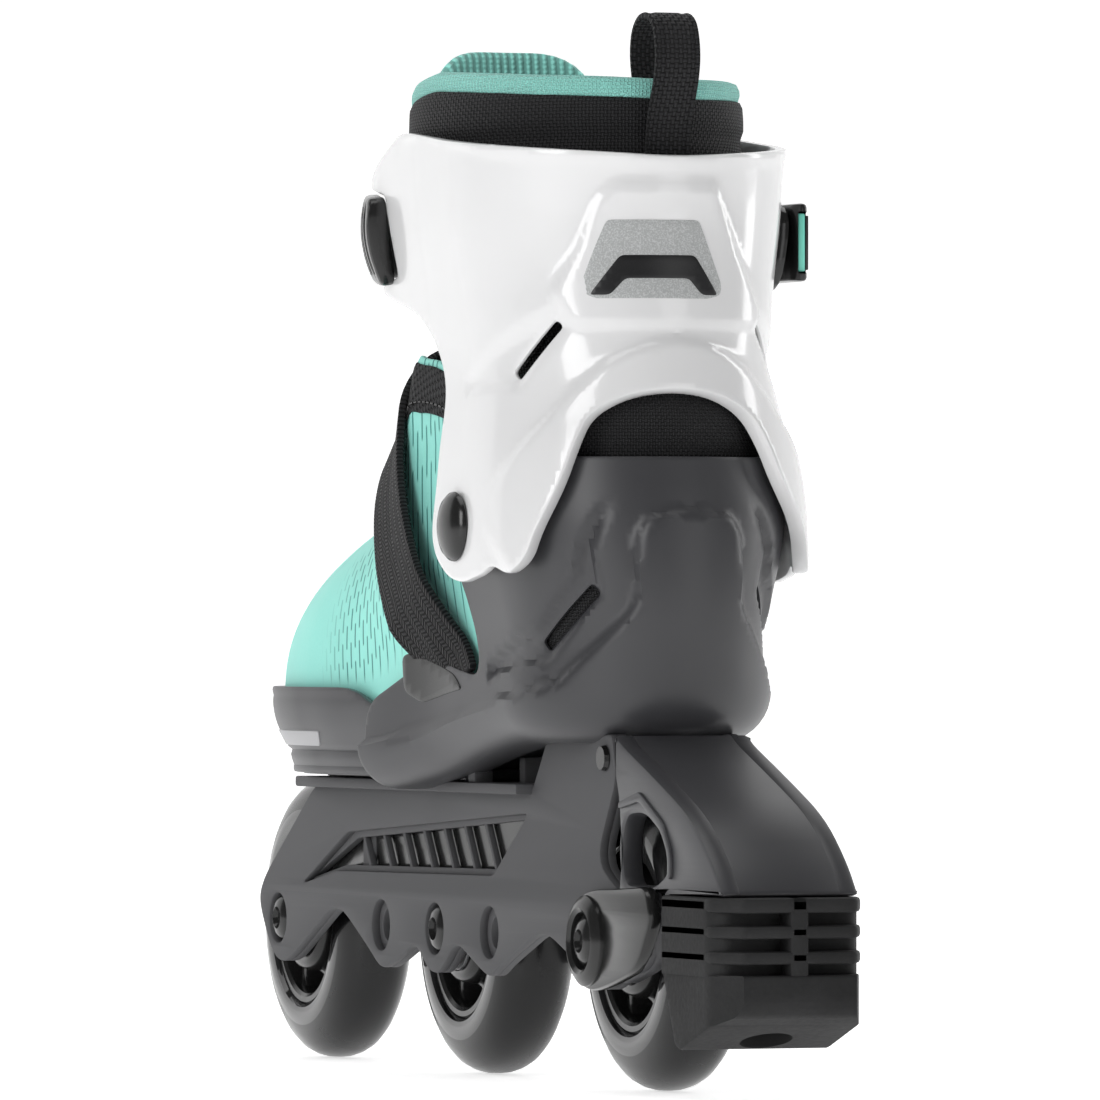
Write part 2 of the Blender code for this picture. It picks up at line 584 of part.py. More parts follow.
def make_toe():
    end = TOE_ARC + TOE_Y - TOE_REAR
    step = TOE_ARC + TOE_Y + 4.3
    half = [(step, 78.6), (step, 90.5), (end, 90.5), (end, 94.5), (TOE_ARC + 48, 95.5), (TOE_ARC + 34, 101)]
    wall = half + [(-u, z) for u, z in reversed(half)]
    cap = to_object("toe_cap", formed_plate([wall], TOE_WALL, (12, 6), toe_place), PLASTIC_GREY)
    shape = [toe_place(k * (step - 0.2) / 16, 81.3)[:2] for k in range(-16, 17)]
    combine(cap, to_object("join", floor_slab(shape, 80.3, 82.3)), "UNION")
    low_bar = [(28, 85.4), (29.5, 89.8), (-29.5, 89.8), (-28, 85.4)]

    def over(u, z):
        out = bent(toe_place, u, z, TOE_WALL / 2 + 1.4)
        return (out.x, out.y, z)

    to_object("toe_bar", formed_plate([low_bar], 1.0, (7, 6), over), BAR_GREY)


def floor_slab(shape, z0, z1):
    bm = outline_mesh([shape], (z1 - z0) / 2)
    bmesh.ops.translate(bm, verts=bm.verts, vec=(0, 0, (z0 + z1) / 2))
    return bm


# Textile boot -------------------------------------------------------------------------------------------

UPPER_BASE = 99.0
UPPER_HALF = [(-72, 27.6), (-55, 28.8), (-40, 30.2), (-20, 32.4), (0, 33.6), (20, 35.6), (40, 37.4)]
UPPER_TOP = [(-72, 240), (-30, 225), (-20, 200), (-12, 182), (0, 164), (20, 152), (40, 144.5), (60, 137),
             (80, 127), (95, 115), (101, 106), (102, 101)]
UPPER_BULGE = [(99, 0), (112, 0.4), (130, 3.8), (200, 3.8)]
UPPER_WALL = 1.6
UPPER_SPAN = 60.0              # u of the edge of the upper at its base
VAMP_REAR = 22.0


def upper_place(u, y):
    """The dome over the foot: u runs across from base to base, y along the foot."""
    half = curve_at(UPPER_HALF, y)
    if y > TOE_Y:
        half = UPPER_HALF[-1][1] * math.sqrt(max(1 - ((y - TOE_Y) / (TOE_DEPTH - 2.5)) ** 2, 0.0004))
    angle = (1 - min(abs(u) / UPPER_SPAN, 1)) * math.pi / 2
    power = curve_at([(-30, 0.62), (-12, 0.72), (6, 0.87)], y)
    z = UPPER_BASE + (curve_at(UPPER_TOP, y) - UPPER_BASE) * math.sin(angle) ** power
    half += curve_at(UPPER_BULGE, z) * curve_at([(-30, 1), (0, 0.3), (15, 0)], y)
    return (math.copysign(half * math.cos(angle) ** power, u), y, z)


def make_upper():
    vamp = [(-UPPER_SPAN, VAMP_REAR), (UPPER_SPAN, VAMP_REAR), (UPPER_SPAN, 99), (-UPPER_SPAN, 99)]
    to_object("vamp", formed_plate([vamp], UPPER_WALL, (12, 9), upper_place), MINT_CLOTH)
    throat = 20.0
    side = [(throat, 0), (27, -14), (38, -30), (43, -60), (UPPER_SPAN - 12, -68), (UPPER_SPAN, -66),
            (UPPER_SPAN, -24), (UPPER_SPAN - 2.5, -10), (UPPER_SPAN - 2.5, VAMP_REAR - GAP)]
    left = [(-u, y) for u, y in reversed(side)]
    notch = [(-throat + 6, 13), (throat - 6, 13)]
    to_object("quarter", formed_plate([side + left + notch], UPPER_WALL, (11, 12), upper_place), MINT_CLOTH)


# Liner, seen at the collar and through the heel arch: a sleeve round the leg.
LEG_Y = -55.0
LEG_HALF = [(152, 26.0), (186, 26.5), (198, 31.0), (220, 36.0), (240, 37.0), (256, 36.0)]
LEG_REAR = [(152, -127), (165, -126), (178, -123.5), (195, -119.5), (256, -118.5)]
LEG_FRONT = [(152, -12), (165, -16), (184, -20), (200, -15), (220, -8), (240, -2), (266, 4)]
LEG_TURN = 60.0                # u of a quarter turn
LINER_WALL = 5.0


def leg_place(u, z, shrink=0.0):
    angle = u / LEG_TURN * math.pi / 2
    reach = LEG_Y - curve_at(LEG_REAR, z) if math.cos(angle) > 0 else curve_at(LEG_FRONT, z) - LEG_Y
    half = curve_at(LEG_HALF, z) - shrink
    return (half * math.sin(angle), LEG_Y - (reach - shrink) * math.cos(angle), z)


def make_liner():
    top = [(-90, 257), (-60, 256), (-30, 252), (0, 250.5), (30, 251), (60, 252), (90, 253)]
    foot = [(-90, 187), (-50, 187), (-34, 154), (34, 154), (50, 187), (90, 187)]
    sleeve = foot + list(reversed(top))
    to_object("liner_collar", formed_plate([sleeve], LINER_WALL, (15, 17), leg_place), BLACK_CLOTH)
    rim = [(-90, 257.6), (-60, 256.6), (-30, 252.6), (0, 251.1), (30, 251.6), (60, 252.6), (90, 253.6)]
    lip = rim + [(u, z + 5) for u, z in reversed(rim)]
    to_object("liner_rim", formed_plate([lip], 4.0, (15, 6), leg_place), MINT_CLOTH)
    heel = [(HEEL_ARC + 22, 2), (HEEL_ARC + 22, 14), (HEEL_ARC - 10, 46), (0, 48)]

    def inside(u, v):
        return bent(shell_place, u, v, -SHELL_WALL / 2 - 0.9 - 1.5)

    wrap = heel + [(-u, v) for u, v in reversed(heel[:-1])]
    to_object("liner_heel", formed_plate([wrap], 3.0, (12, 12), inside), BLACK_CLOTH)
    bed = [(26 * math.sin(a), -100 - 24 * math.cos(a)) for a in (math.pi * k / 8 - math.pi / 2
                                                                  for k in range(9))]
    bed += [(24, -40), (28, 20), (30, 40)]
    bed += [(30 * math.cos(a), 40 + 48 * math.sin(a)) for a in (math.pi * k / 8 for k in range(1, 8))]
    bed += [(-30, 40), (-28, 20), (-24, -40)]

    def floor(x, y):
        return (x, y, sole_z(y) + 8.0)

    to_object("footbed", formed_plate([bed], 5.0, (30, 14), floor), BLACK_CLOTH)


TONGUE_LINE = [(0, 14, 147.5), (14, 2, 156), (28, -10, 166.5), (44, -18, 180), (60, -17, 196), (80, -10, 215),
               (106, -4, 240), (133, 1, 267)]
TONGUE_WALL = 4.0


def tongue_place(u, v):
    """u across, v up the tongue; its sides fall back round the foot and the leg."""
    y = curve_at([(v0, y0) for v0, y0, _ in TONGUE_LINE], v)
    z = curve_at([(v0, z0) for v0, _, z0 in TONGUE_LINE], v)
    back = u * u / 70
    tilt = curve_at([(0, 0.0), (44, 0.6), (80, 1.0)], v)
    return (u, y - back * tilt - 6.5 * tilt, z - back * (1 - tilt) * 1.0 - 4.5 * (1 - tilt))


def make_tongue():
    edge = [(-13, 2), (13, 2), (16, 40), (20, 70), (22, 128), (14, 133), (-14, 133), (-22, 128), (-20, 70),
            (-16, 40)]
    to_object("tongue", formed_plate([edge], TONGUE_WALL, (11, 11), tongue_place), MINT_CLOTH)


INSTEP = [(0, 0, -7, 179), (12, 12, -7.2, 178.7), (22.5, 22.2, -8.6, 176.5), (35, 30.2, -12.6, 169),
          (49.2, 35.0, -18, 157.5), (61.6, 37.7, -24, 147), (75.9, 39.3, -31.5, 135), (92, 39.1, -41, 122),
          (114.6, 36.6, -54.5, 104)]
STRAP_AHEAD = [(0, 0.55), (22.5, 0.62), (35, 0.75), (49, 0.85), (76, 0.85), (92, 0.82), (114.6, 0.8)]
STRAP_FLARE = [(0, 0), (22, 0.12), (35, 0.24), (49, 0.2), (76, 0.1), (114.6, 0.05)]
STRAP_HALF = 14.0


def instep_place(u, v):
    """Over the instep and down both sides: v grows towards the band's front and lower edge."""
    run = abs(u)
    x, y, z = (curve_at([(p[0], p[k]) for p in INSTEP], run) for k in (1, 2, 3))
    ahead = curve_at(STRAP_AHEAD, run)
    x += max(-v, 0) * curve_at(STRAP_FLARE, run)
    return (math.copysign(x, -u), y + v * ahead, z - v * math.sqrt(1 - ahead * ahead))


def make_straps():
    end = [(90, STRAP_HALF), (110, -STRAP_HALF)]
    band = end + [(-u, v) for u, v in reversed(end)]
    to_object("instep_strap", formed_plate([band], 2.0, (8, 30), instep_place), BLACK_CLOTH)


LACE_R = 1.3


def make_laces():
    """One lace over the tongue, from eyelet to eyelet in three rows."""
    rows = [(18.0, 1), (12.5, -1), (7.0, 1)]
    stops = [bent(upper_place, turn * u, y, 3.5) for y, turn in rows for u in (-26, -10, 10, 26)]
    laces = None
    for start, end in zip(stops, stops[1:]):
        run = (end - start).normalized() * LACE_R * 0.6
        length = to_object("laces", rod(start - run, end + run, LACE_R, 6), WHITE_CORD)
        laces = combine(laces, length, "UNION") if laces else length


# Cuff fittings ------------------------------------------------------------------------------------------

LADDER_Z = (208.0, 226.0)
LADDER_Y = -38.0
LADDER_HALF, LADDER_FRONT = 44.6, 14.0
LADDER_ARC = 78.0


def ladder_place(u, z):
    """Round the front of the leg: u is 0 at the shin and grows to the right side."""
    run = abs(u)
    angle = min(run / LADDER_ARC, 1) * math.pi / 2
    y = LADDER_Y - max(run - LADDER_ARC, 0)
    half = LADDER_HALF + (curve_at(CUFF_HALF, z) - 42.0)
    if run < LADDER_ARC:
        y = LADDER_Y + (LADDER_FRONT - LADDER_Y) * math.cos(angle)
    return (math.copysign(half * math.sin(angle), -u), y, z)


HINGE_X, HINGE_Y = 49.9, -44.0
LEVER_Z = (205.5, 225.5)


def make_buckle():
    strap = [(-LADDER_ARC + 24, LADDER_Z[0]), (LADDER_ARC - 24, LADDER_Z[0]), (LADDER_ARC - 24, LADDER_Z[1]),
             (-LADDER_ARC + 24, LADDER_Z[1])]
    to_object("ladder_strap", formed_plate([strap], 2.0, (9, 20), ladder_place), PLASTIC_BLACK)
    front, rear = LADDER_ARC - 23.5, LADDER_ARC - 7
    anchor = [(front, 209), (rear, 209), (rear, 226), (front, 226)]
    to_object("strap_anchor", formed_plate([anchor], 6.0, (9, 30), ladder_place), PLASTIC_BLACK)
    front, mid, rear = 23.5 - LADDER_ARC, -LADDER_ARC - 6, -LADDER_ARC - 52
    grip = [(front, 208), (front, 226), (mid, 227), (rear, 225), (rear, 203), (mid, 203)]

    base = to_object("buckle_base", formed_plate([grip], 2.0, (9, 30), ladder_place), PLASTIC_BLACK)
    low, high = LEVER_Z
    for x0, z0, z1 in ((42.4, low - 3.0, low - 0.5), (44.9, high + 0.5, high + 3.0)):
        ear = bar((x0, HINGE_Y - 4, z0), (HINGE_X + 2.4, HINGE_Y + 4, z1))
        combine(base, to_object("join", ear), "UNION")
    pin_hole = ((HINGE_X, HINGE_Y, low - 8), (HINGE_X, HINGE_Y, high + 8), 1.6)
    combine(base, to_object("cutter", rod(*pin_hole)))
    to_object("buckle_pin", rod((HINGE_X, HINGE_Y, low - 3.4), (HINGE_X, HINGE_Y, high + 3.4), 1.2), STEEL)
    lever = to_object("buckle_lever", bar((HINGE_X - 2, -90, low), (HINGE_X + 3, HINGE_Y + 1.8, high)), PLASTIC_BLACK,
                      (HINGE_X, HINGE_Y, (low + high) / 2))
    combine(lever, to_object("cutter", rod(*pin_hole)))
    combine(lever, to_object("cutter", bar((HINGE_X - 1, -100, low + 2), (HINGE_X + 1.8, -60, high - 2))))
    tab = bar((HINGE_X - 0.6, -88.5, low + 2.5), (HINGE_X + 1.4, -60.5, high - 2.5))
    to_object("buckle_release", tab, MINT_PLASTIC, (HINGE_X + 0.4, -60.5, (low + high) / 2))
    y, z = -26, 217
    combine(base, to_object("cutter", rod((30, y, z), (50, y, z), 1.8, 12)))
    screw = [(36, 0), (36, 1.5), (45.0, 1.5), (45.0, 3.0), (46.6, 2.4), (46.6, 0)]
    to_object("buckle_screw", turned(screw, (0, y, z), 12), STEEL, (0, y, z))


def make_pull_loop():
    """A web folded over itself behind the collar; the loop stands above the rim."""
    outer = [(-121.4, 228), (-123.0, 228), (-123.2, 241), (-127.2, 251), (-130.4, 259), (-129.4, 267),
             (-124.8, 272), (-118, 272), (-112.2, 268), (-110.3, 260.5), (-113.6, 257.6), (-117.4, 257.9),
             (-121.4, 256)]
    loop = [(-123.5, 256.5), (-127.6, 259.5), (-126.8, 265.8), (-123.6, 269.6), (-118.6, 269.7), (-114.4, 266.4),
            (-113.0, 261.6), (-117.5, 260.2)]
    to_object("pull_loop", side_plate([outer, loop], -6, 6), BLACK_CLOTH)


def make_size_button():
    """The push button that frees the toe to slide, in its collar on the shell's right wall."""
    spot = (0, -24, 96)
    collar = [(39.0, 8.4), (39.0, 6.5), (41.8, 6.5), (41.8, 8.0)]
    to_object("size_button_collar", turned(collar, spot, 20), PLASTIC_BLACK, spot)
    button = [(40.8, 0), (40.8, 6.0), (43.2, 6.0), (43.8, 4.8), (43.8, 0)]
    to_object("size_button", turned(button, spot, 20), MINT_PLASTIC, spot)


def main():
    clear_scene()
    for place, y in AXLES.items():
        make_wheel(place, y)
        make_axle(place, y)
    make_frame()
    make_frame_bolts()
    make_brake()
    make_shell()
    make_cuff()
    make_toe()
    make_upper()
    make_liner()
    make_tongue()
    make_straps()
    make_laces()
    make_buckle()
    make_pull_loop()
    make_size_button()


if __name__ == "__main__":
    main()
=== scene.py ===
"""Inline skate: the finished looks of a size-adjustable skate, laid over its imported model.

Every shape below is worked out in millimetres, in the model's frame: the floor under the middle wheel is the
origin, +Y points to the toe, +X to the skate's right and +Z up. Meshes are scaled to metres as they are kept.
"""
import json
import math

import bpy
import bmesh
from bpy.props import FloatProperty, FloatVectorProperty, IntProperty, PointerProperty
from mathutils import Matrix, Vector


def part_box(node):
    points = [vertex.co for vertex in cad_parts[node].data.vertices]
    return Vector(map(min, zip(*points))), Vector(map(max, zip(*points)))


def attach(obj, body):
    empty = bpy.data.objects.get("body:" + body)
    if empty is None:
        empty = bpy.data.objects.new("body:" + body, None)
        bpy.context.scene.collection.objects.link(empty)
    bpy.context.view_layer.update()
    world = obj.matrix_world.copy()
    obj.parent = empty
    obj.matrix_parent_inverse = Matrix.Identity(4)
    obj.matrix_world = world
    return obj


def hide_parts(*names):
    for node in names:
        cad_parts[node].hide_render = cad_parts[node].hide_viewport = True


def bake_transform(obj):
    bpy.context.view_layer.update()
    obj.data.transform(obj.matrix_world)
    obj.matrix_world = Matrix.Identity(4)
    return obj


bl_info = {
    "name": "Inline Skate",
    "version": (1, 0, 0),
    "blender": (4, 5, 0),
    "location": "View3D > Sidebar > Skate",
    "description": "Builds the visible pieces of an inline skate",
    "category": "Add Mesh",
}

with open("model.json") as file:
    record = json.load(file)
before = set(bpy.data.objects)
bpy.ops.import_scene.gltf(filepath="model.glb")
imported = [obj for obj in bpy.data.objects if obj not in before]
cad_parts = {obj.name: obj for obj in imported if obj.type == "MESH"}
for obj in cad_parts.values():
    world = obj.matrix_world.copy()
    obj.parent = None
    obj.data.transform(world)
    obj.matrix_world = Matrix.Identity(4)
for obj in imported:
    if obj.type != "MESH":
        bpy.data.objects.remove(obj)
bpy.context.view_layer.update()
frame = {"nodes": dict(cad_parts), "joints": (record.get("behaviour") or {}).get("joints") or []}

MM = 0.001
WHEELS = ("front", "middle", "rear")


def joint_at(name):
    return Vector(next(joint for joint in frame["joints"] if joint["name"] == name)["pos_m"]) / MM


def centre_of(node):
    low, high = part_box(node)
    return (low + high) / 2 / MM


WHEEL_AT = {place: centre_of(f"tyre_{place}") for place in WHEELS}
WHEEL_R = WHEEL_AT["middle"].z
PIVOT = joint_at("cuff_flex")
HINGE = joint_at("lever_open")
AXLE_ROW = [WHEEL_AT[place].y for place in WHEELS]


# Settings -----------------------------------------------------------------------------------------------

def colour_property(name, description, default):
    return FloatVectorProperty(name=name, description=description, default=default, size=3, min=0, max=1,
                               subtype="COLOR")


class SKATE_PG_colours(bpy.types.PropertyGroup):
    """Colours of the plastics, the cloth and the wheels."""
    cuff: colour_property("Cuff", "Gloss plastic of the cuff", (0.78, 0.78, 0.785))
    shell: colour_property("Shell", "Satin plastic of the shell, toe cap and brake arm", (0.0125, 0.0125, 0.013))
    frame: colour_property("Frame", "Grained plastic of the wheel frame", (0.017, 0.017, 0.018))
    gloss: colour_property("Gloss trim", "Caps, buckle and hubs", (0.003, 0.003, 0.0033))
    tyre: colour_property("Tyre", "Wheel polyurethane", (0.004, 0.004, 0.0043))
    smoke: colour_property("Smoke", "Clear inner band of the wheels", (0.012, 0.012, 0.0125))
    rubber: colour_property("Brake pad", "Brake pad rubber", (0.018, 0.018, 0.0185))
    mint: colour_property("Mint", "Textile upper", (0.310, 0.790, 0.700))
    teal: colour_property("Teal", "Perforations in the upper", (0.030, 0.250, 0.230))
    cloth: colour_property("Black cloth", "Liner, straps and pull loop", (0.0050, 0.0050, 0.0055))
    button: colour_property("Mint plastic", "Buckle release and size button", (0.130, 0.640, 0.480))
    patch: colour_property("Patch", "Reflective patch on the cuff", (0.420, 0.430, 0.430))


class SKATE_PG_sizes(bpy.types.PropertyGroup):
    """Wall thicknesses and mesh spacing, in millimetres."""
    cuff_wall: FloatProperty(name="Cuff wall", description="Thickness of the cuff", default=2.6, min=1, max=4)
    shell_wall: FloatProperty(name="Shell wall", description="Thickness of the shell", default=2.4, min=1, max=4)
    mesh_step: FloatProperty(name="Mesh step", description="Spacing of the mesh on moulded pieces", default=1.6,
                             min=0.8, max=6)
    turn_steps: IntProperty(name="Turn steps", description="Segments of a turned piece", default=96, min=24,
                            max=256)


def colours():
    return bpy.context.scene.skate_colours


def sizes():
    return bpy.context.scene.skate_sizes


# Shader maths -------------------------------------------------------------------------------------------

class Signal:
    """A node's output that can be added, scaled and compared like a number."""

    def __init__(self, paint, socket):
        self.paint, self.socket = paint, socket

    def math(self, operation, *others):
        return self.paint.node("ShaderNodeMath", {"operation": operation}, dict(enumerate((self, *others))))

    def __add__(self, other):
        return self.math("ADD", other)

    __radd__ = __add__

    def __mul__(self, other):
        return self.math("MULTIPLY", other)

    __rmul__ = __mul__

    def __sub__(self, other):
        return self.math("SUBTRACT", other)

    def __rsub__(self, other):
        return self.paint.node("ShaderNodeMath", {"operation": "SUBTRACT"}, {0: other, 1: self})

    def __gt__(self, other):
        return self.math("GREATER_THAN", other)

    def __mod__(self, other):
        return self.math("FLOORED_MODULO", other)

    def smooth(self, low, high):
        return self.paint.node("ShaderNodeMapRange", {"interpolation_type": "SMOOTHSTEP"},
                               {"Value": self, "From Min": low, "From Max": high})


class Paint:
    """One material, with its shader and its nodes."""

    def __init__(self, name, colour, roughness, metallic=0.0, coat=0.0, sheen=0.0, specular=0.5):
        self.material = bpy.data.materials.new(name)
        self.material.use_nodes = True
        self.tree = self.material.node_tree
        self.shader = self.tree.nodes["Principled BSDF"]
        self.set("Base Color", (*colour, 1))
        self.set("Roughness", roughness)
        self.set("Metallic", metallic)
        self.set("Specular IOR Level", specular)
        if coat:
            self.set("Coat Weight", coat)
            self.set("Coat Roughness", 0.06)
        if sheen:
            self.set("Sheen Weight", sheen)
            self.set("Sheen Roughness", 0.45)

    def set(self, name, value):
        self.put(self.shader.inputs[name], value)

    def put(self, socket, value):
        if isinstance(value, Signal):
            self.tree.links.new(value.socket, socket)
        else:
            socket.default_value = value

    def node(self, kind, settings=None, values=None, output=0):
        made = self.tree.nodes.new(kind)
        for name, value in (settings or {}).items():
            setattr(made, name, value)
        for name, value in (values or {}).items():
            self.put(made.inputs[name], value)
        return Signal(self, made.outputs[output])

    def space(self, scale=(1, 1, 1), turn=(0, 0, 0), flat=False):
        source = self.node("ShaderNodeTexCoord", output="UV" if flat else "Object")
        return self.node("ShaderNodeMapping", None, {"Vector": source, "Scale": scale, "Rotation": turn})

    def parts(self, vector):
        split = self.tree.nodes.new("ShaderNodeSeparateXYZ")
        self.put(split.inputs[0], vector)
        return [Signal(self, out) for out in split.outputs]

    def noise(self, scale, detail=2.0, vector=None):
        return self.node("ShaderNodeTexNoise", None,
                         {"Vector": vector or self.space(), "Scale": scale, "Detail": detail})

    def blend(self, mask, low, high):
        return self.node("ShaderNodeMix", {"data_type": "RGBA"}, {0: mask, 6: (*low, 1), 7: (*high, 1)}, output=2)

    def bump(self, height, strength, distance=0.0004):
        normal = self.node("ShaderNodeBump", None, {"Height": height, "Strength": strength, "Distance": distance})
        self.set("Normal", normal)


def shade(colour, factor):
    return tuple(min(c * factor, 1) for c in colour)


def moulded(name, colour, roughness, grain, grain_scale, coat=0.0, wear=1.5):
    """Moulded plastic: a slow tone change, a fine grain, and lighter flow marks."""
    paint = Paint(name, colour, roughness, coat=coat, specular=0.26)
    slow = paint.noise(28, 3)
    fine = paint.noise(grain_scale, 2)
    paint.set("Base Color", paint.blend(slow.smooth(0.35, 0.75), shade(colour, 1 / wear), shade(colour, wear)))
    paint.set("Roughness", roughness + (slow - 0.5) * 0.16 + (fine - 0.5) * 0.08)
    paint.bump(fine, grain)
    return paint.material


def cuff_white():
    colour = tuple(colours().cuff)
    paint = Paint("gloss_white", colour, 0.16, coat=0.35)
    slow = paint.noise(14, 2)
    fine = paint.noise(900, 2)
    paint.set("Base Color", paint.blend(slow.smooth(0.3, 0.8), shade(colour, 0.965), shade(colour, 1.02)))
    paint.set("Roughness", 0.15 + slow * 0.07)
    paint.bump(slow + fine * 0.08, 0.10)
    return paint.material


def gloss_black():
    colour = tuple(colours().gloss)
    paint = Paint("gloss_black", colour, 0.14, coat=0.35, specular=0.3)
    slow, fine = paint.noise(60, 3), paint.noise(1300, 1)
    paint.set("Roughness", 0.10 + slow * 0.12)
    paint.set("Base Color", paint.blend(slow, shade(colour, 0.7), shade(colour, 1.8)))
    paint.bump(fine, 0.03)
    return paint.material


def tyre_black():
    colour = tuple(colours().tyre)
    paint = Paint("tyre_black", colour, 0.24, coat=0.12, specular=0.3)
    slow, fine = paint.noise(45, 4), paint.noise(1500, 2)
    paint.set("Base Color", paint.blend(slow.smooth(0.4, 0.8), colour, shade(colour, 2.0)))
    paint.set("Roughness", 0.2 + slow.smooth(0.45, 0.8) * 0.22)
    paint.bump(fine, 0.04)
    return paint.material


def smoke_clear():
    """The see-through band between tread and core: pale where light comes through, with cast swirls."""
    colour = tuple(colours().smoke)
    paint = Paint("smoke_clear", colour, 0.08, coat=0.4, specular=0.4)
    swirl = paint.noise(70, 5)
    paint.set("Base Color", paint.blend(swirl.smooth(0.3, 0.8), shade(colour, 0.45), shade(colour, 2.1)))
    paint.set("Roughness", 0.06 + swirl * 0.06)
    return paint.material


def steel(name="steel", tone=0.55, roughness=0.28):
    paint = Paint(name, (tone,) * 3, roughness, metallic=1.0)
    brushed = paint.noise(260, 3, paint.space((1, 12, 12)))
    paint.set("Roughness", roughness - 0.06 + brushed * 0.14)
    paint.set("Base Color", paint.blend(brushed, (tone * 0.8,) * 3, (min(tone * 1.15, 1),) * 3))
    paint.bump(brushed, 0.05)
    return paint.material


def pad_rubber():
    colour = tuple(colours().rubber)
    paint = Paint("pad_rubber", colour, 0.72, specular=0.25)
    slow, fine = paint.noise(35, 3), paint.noise(700, 3)
    paint.set("Base Color", paint.blend(slow.smooth(0.3, 0.75), shade(colour, 0.8), shade(colour, 1.35)))
    paint.set("Roughness", 0.62 + fine * 0.2)
    paint.bump(fine + slow * 0.5, 0.22)
    return paint.material


def woven(name, colour, pitch, depth, light=3.2, turn=0.0, roughness=0.85):
    """Plain weave: over-and-under threads on the piece's own flat pattern. pitch is in millimetres."""
    paint = Paint(name, colour, roughness, sheen=0.04, specular=0.25)
    flat = paint.space(turn=(0, 0, turn), flat=True)
    u, v, _ = paint.parts(flat)
    wave = math.pi * 10 / pitch
    across = (u * wave).math("SINE")
    along = (v * wave).math("SINE")
    over = (across * along) > 0
    ridge = over * across.math("ABSOLUTE") + (1 - over) * along.math("ABSOLUTE")
    fuzz = paint.noise(1800, 2)
    lit = ridge.smooth(0.25, 1.0) * (0.6 + fuzz * 0.8)
    paint.set("Base Color", paint.blend(lit, shade(colour, 0.35), shade(colour, light)))
    paint.set("Roughness", roughness - lit * 0.25)
    paint.bump(ridge + fuzz * 0.25, depth, 0.0006)
    return paint.material


def webbing(name, colour, light=3.0):
    """Strap webbing: fine diagonal ribs in narrow columns that lean in turn to either side."""
    paint = Paint(name, colour, 0.8, sheen=0.04, specular=0.25)
    u, v, _ = paint.parts(paint.space(flat=True))
    column = (v * (10 / 2.4)) % 2.0
    lean = (column > 1.0) * 2.0 - 1.0
    rib = ((u * (10 / 1.15) + lean * (column % 1.0)) * (2 * math.pi)).math("SINE") * 0.5 + 0.5
    seam = ((column % 1.0) - 0.5).math("ABSOLUTE").smooth(0.5, 0.36)
    fuzz = paint.noise(1600, 2)
    lit = rib * seam * (0.5 + fuzz)
    paint.set("Base Color", paint.blend(lit, shade(colour, 0.3), shade(colour, light)))
    paint.set("Roughness", 0.85 - lit * 0.3)
    paint.bump(rib * seam + fuzz * 0.2, 0.8, 0.0007)
    return paint.material


def mint_skin():
    """The upper's soft synthetic: a fine print with rows of slanted slits along its sides."""
    colour, teal = tuple(colours().mint), tuple(colours().teal)
    paint = Paint("mint_skin", colour, 0.62, sheen=0.1)
    u, v, _ = paint.parts(paint.space(flat=True))
    fine = paint.noise(1100, 3)
    slow = paint.noise(18, 2)
    side = u.math("ABSOLUTE")
    lean = v + side * 0.32
    column = lean * (10 / 2.5)
    odd = (column.math("FLOOR") % 2.0) * 0.5
    slit_u = ((side * (10 / 6.4) + odd) % 1.0 - 0.5).math("ABSOLUTE")
    slit_v = ((column % 1.0) - 0.5).math("ABSOLUTE")
    slit = slit_u.smooth(0.36, 0.29) * slit_v.smooth(0.17, 0.08)
    field = side.smooth(3.0, 3.4) * side.smooth(5.9, 5.75) * v.smooth(3.4, 1.4) * v.smooth(-6.6, -6.0)
    slit = slit * field
    base = paint.blend(slow.smooth(0.3, 0.7), shade(colour, 0.93), shade(colour, 1.05))
    mixed = paint.node("ShaderNodeMix", {"data_type": "RGBA"}, {0: slit, 6: base, 7: (*teal, 1)}, output=2)
    paint.set("Base Color", mixed)
    paint.set("Roughness", 0.55 + fine * 0.15)
    paint.bump(fine * 0.25 - slit * 1.0, 0.5, 0.0008)
    return paint.material


def mint_mesh():
    """Spacer mesh: a honeycomb of small pits, painted darker towards their middles as painted shade, with paler rims
    as painted light.
    """
    colour, pitch = tuple(colours().mint), 0.9
    paint = Paint("mint_mesh", colour, 0.85, sheen=0.25)
    cell = paint.node("ShaderNodeTexVoronoi", {"feature": "DISTANCE_TO_EDGE"},
                      {"Vector": paint.space(flat=True), "Scale": 10 / pitch, "Randomness": 0.35})
    fuzz = paint.noise(1500, 2)
    web = cell.smooth(0.02, 0.24)
    # painted shade and light: each pit darkens where the bump sinks, the rims between stay paler
    paint.set("Base Color", paint.blend(web, shade(colour, 1.15), shade(colour, 0.8)))
    paint.set("Roughness", 0.8 + fuzz * 0.15)
    paint.bump(fuzz * 0.3 - web, 0.9, 0.0007)
    return paint.material


def mint_rib():
    """Ribbed knit of the tongue, its wales running up the leg."""
    colour = tuple(colours().mint)
    paint = Paint("mint_rib", colour, 0.85, sheen=0.25)
    u, v, _ = paint.parts(paint.space(flat=True))
    wale = (u * (2 * math.pi * 10 / 2.2)).math("SINE") * 0.5 + 0.5
    course = (v * (2 * math.pi * 10 / 1.3) + wale * 2.0).math("SINE") * 0.5 + 0.5
    fuzz = paint.noise(1500, 2)
    high = wale * (0.7 + course * 0.3)
    # painted light and shade: the raised wales are lighter and the furrows between them darker
    paint.set("Base Color", paint.blend(high.smooth(0.1, 0.8), shade(colour, 0.62), shade(colour, 1.22)))
    paint.set("Roughness", 0.8 + fuzz * 0.15)
    paint.bump(high + fuzz * 0.25, 0.8, 0.0008)
    return paint.material


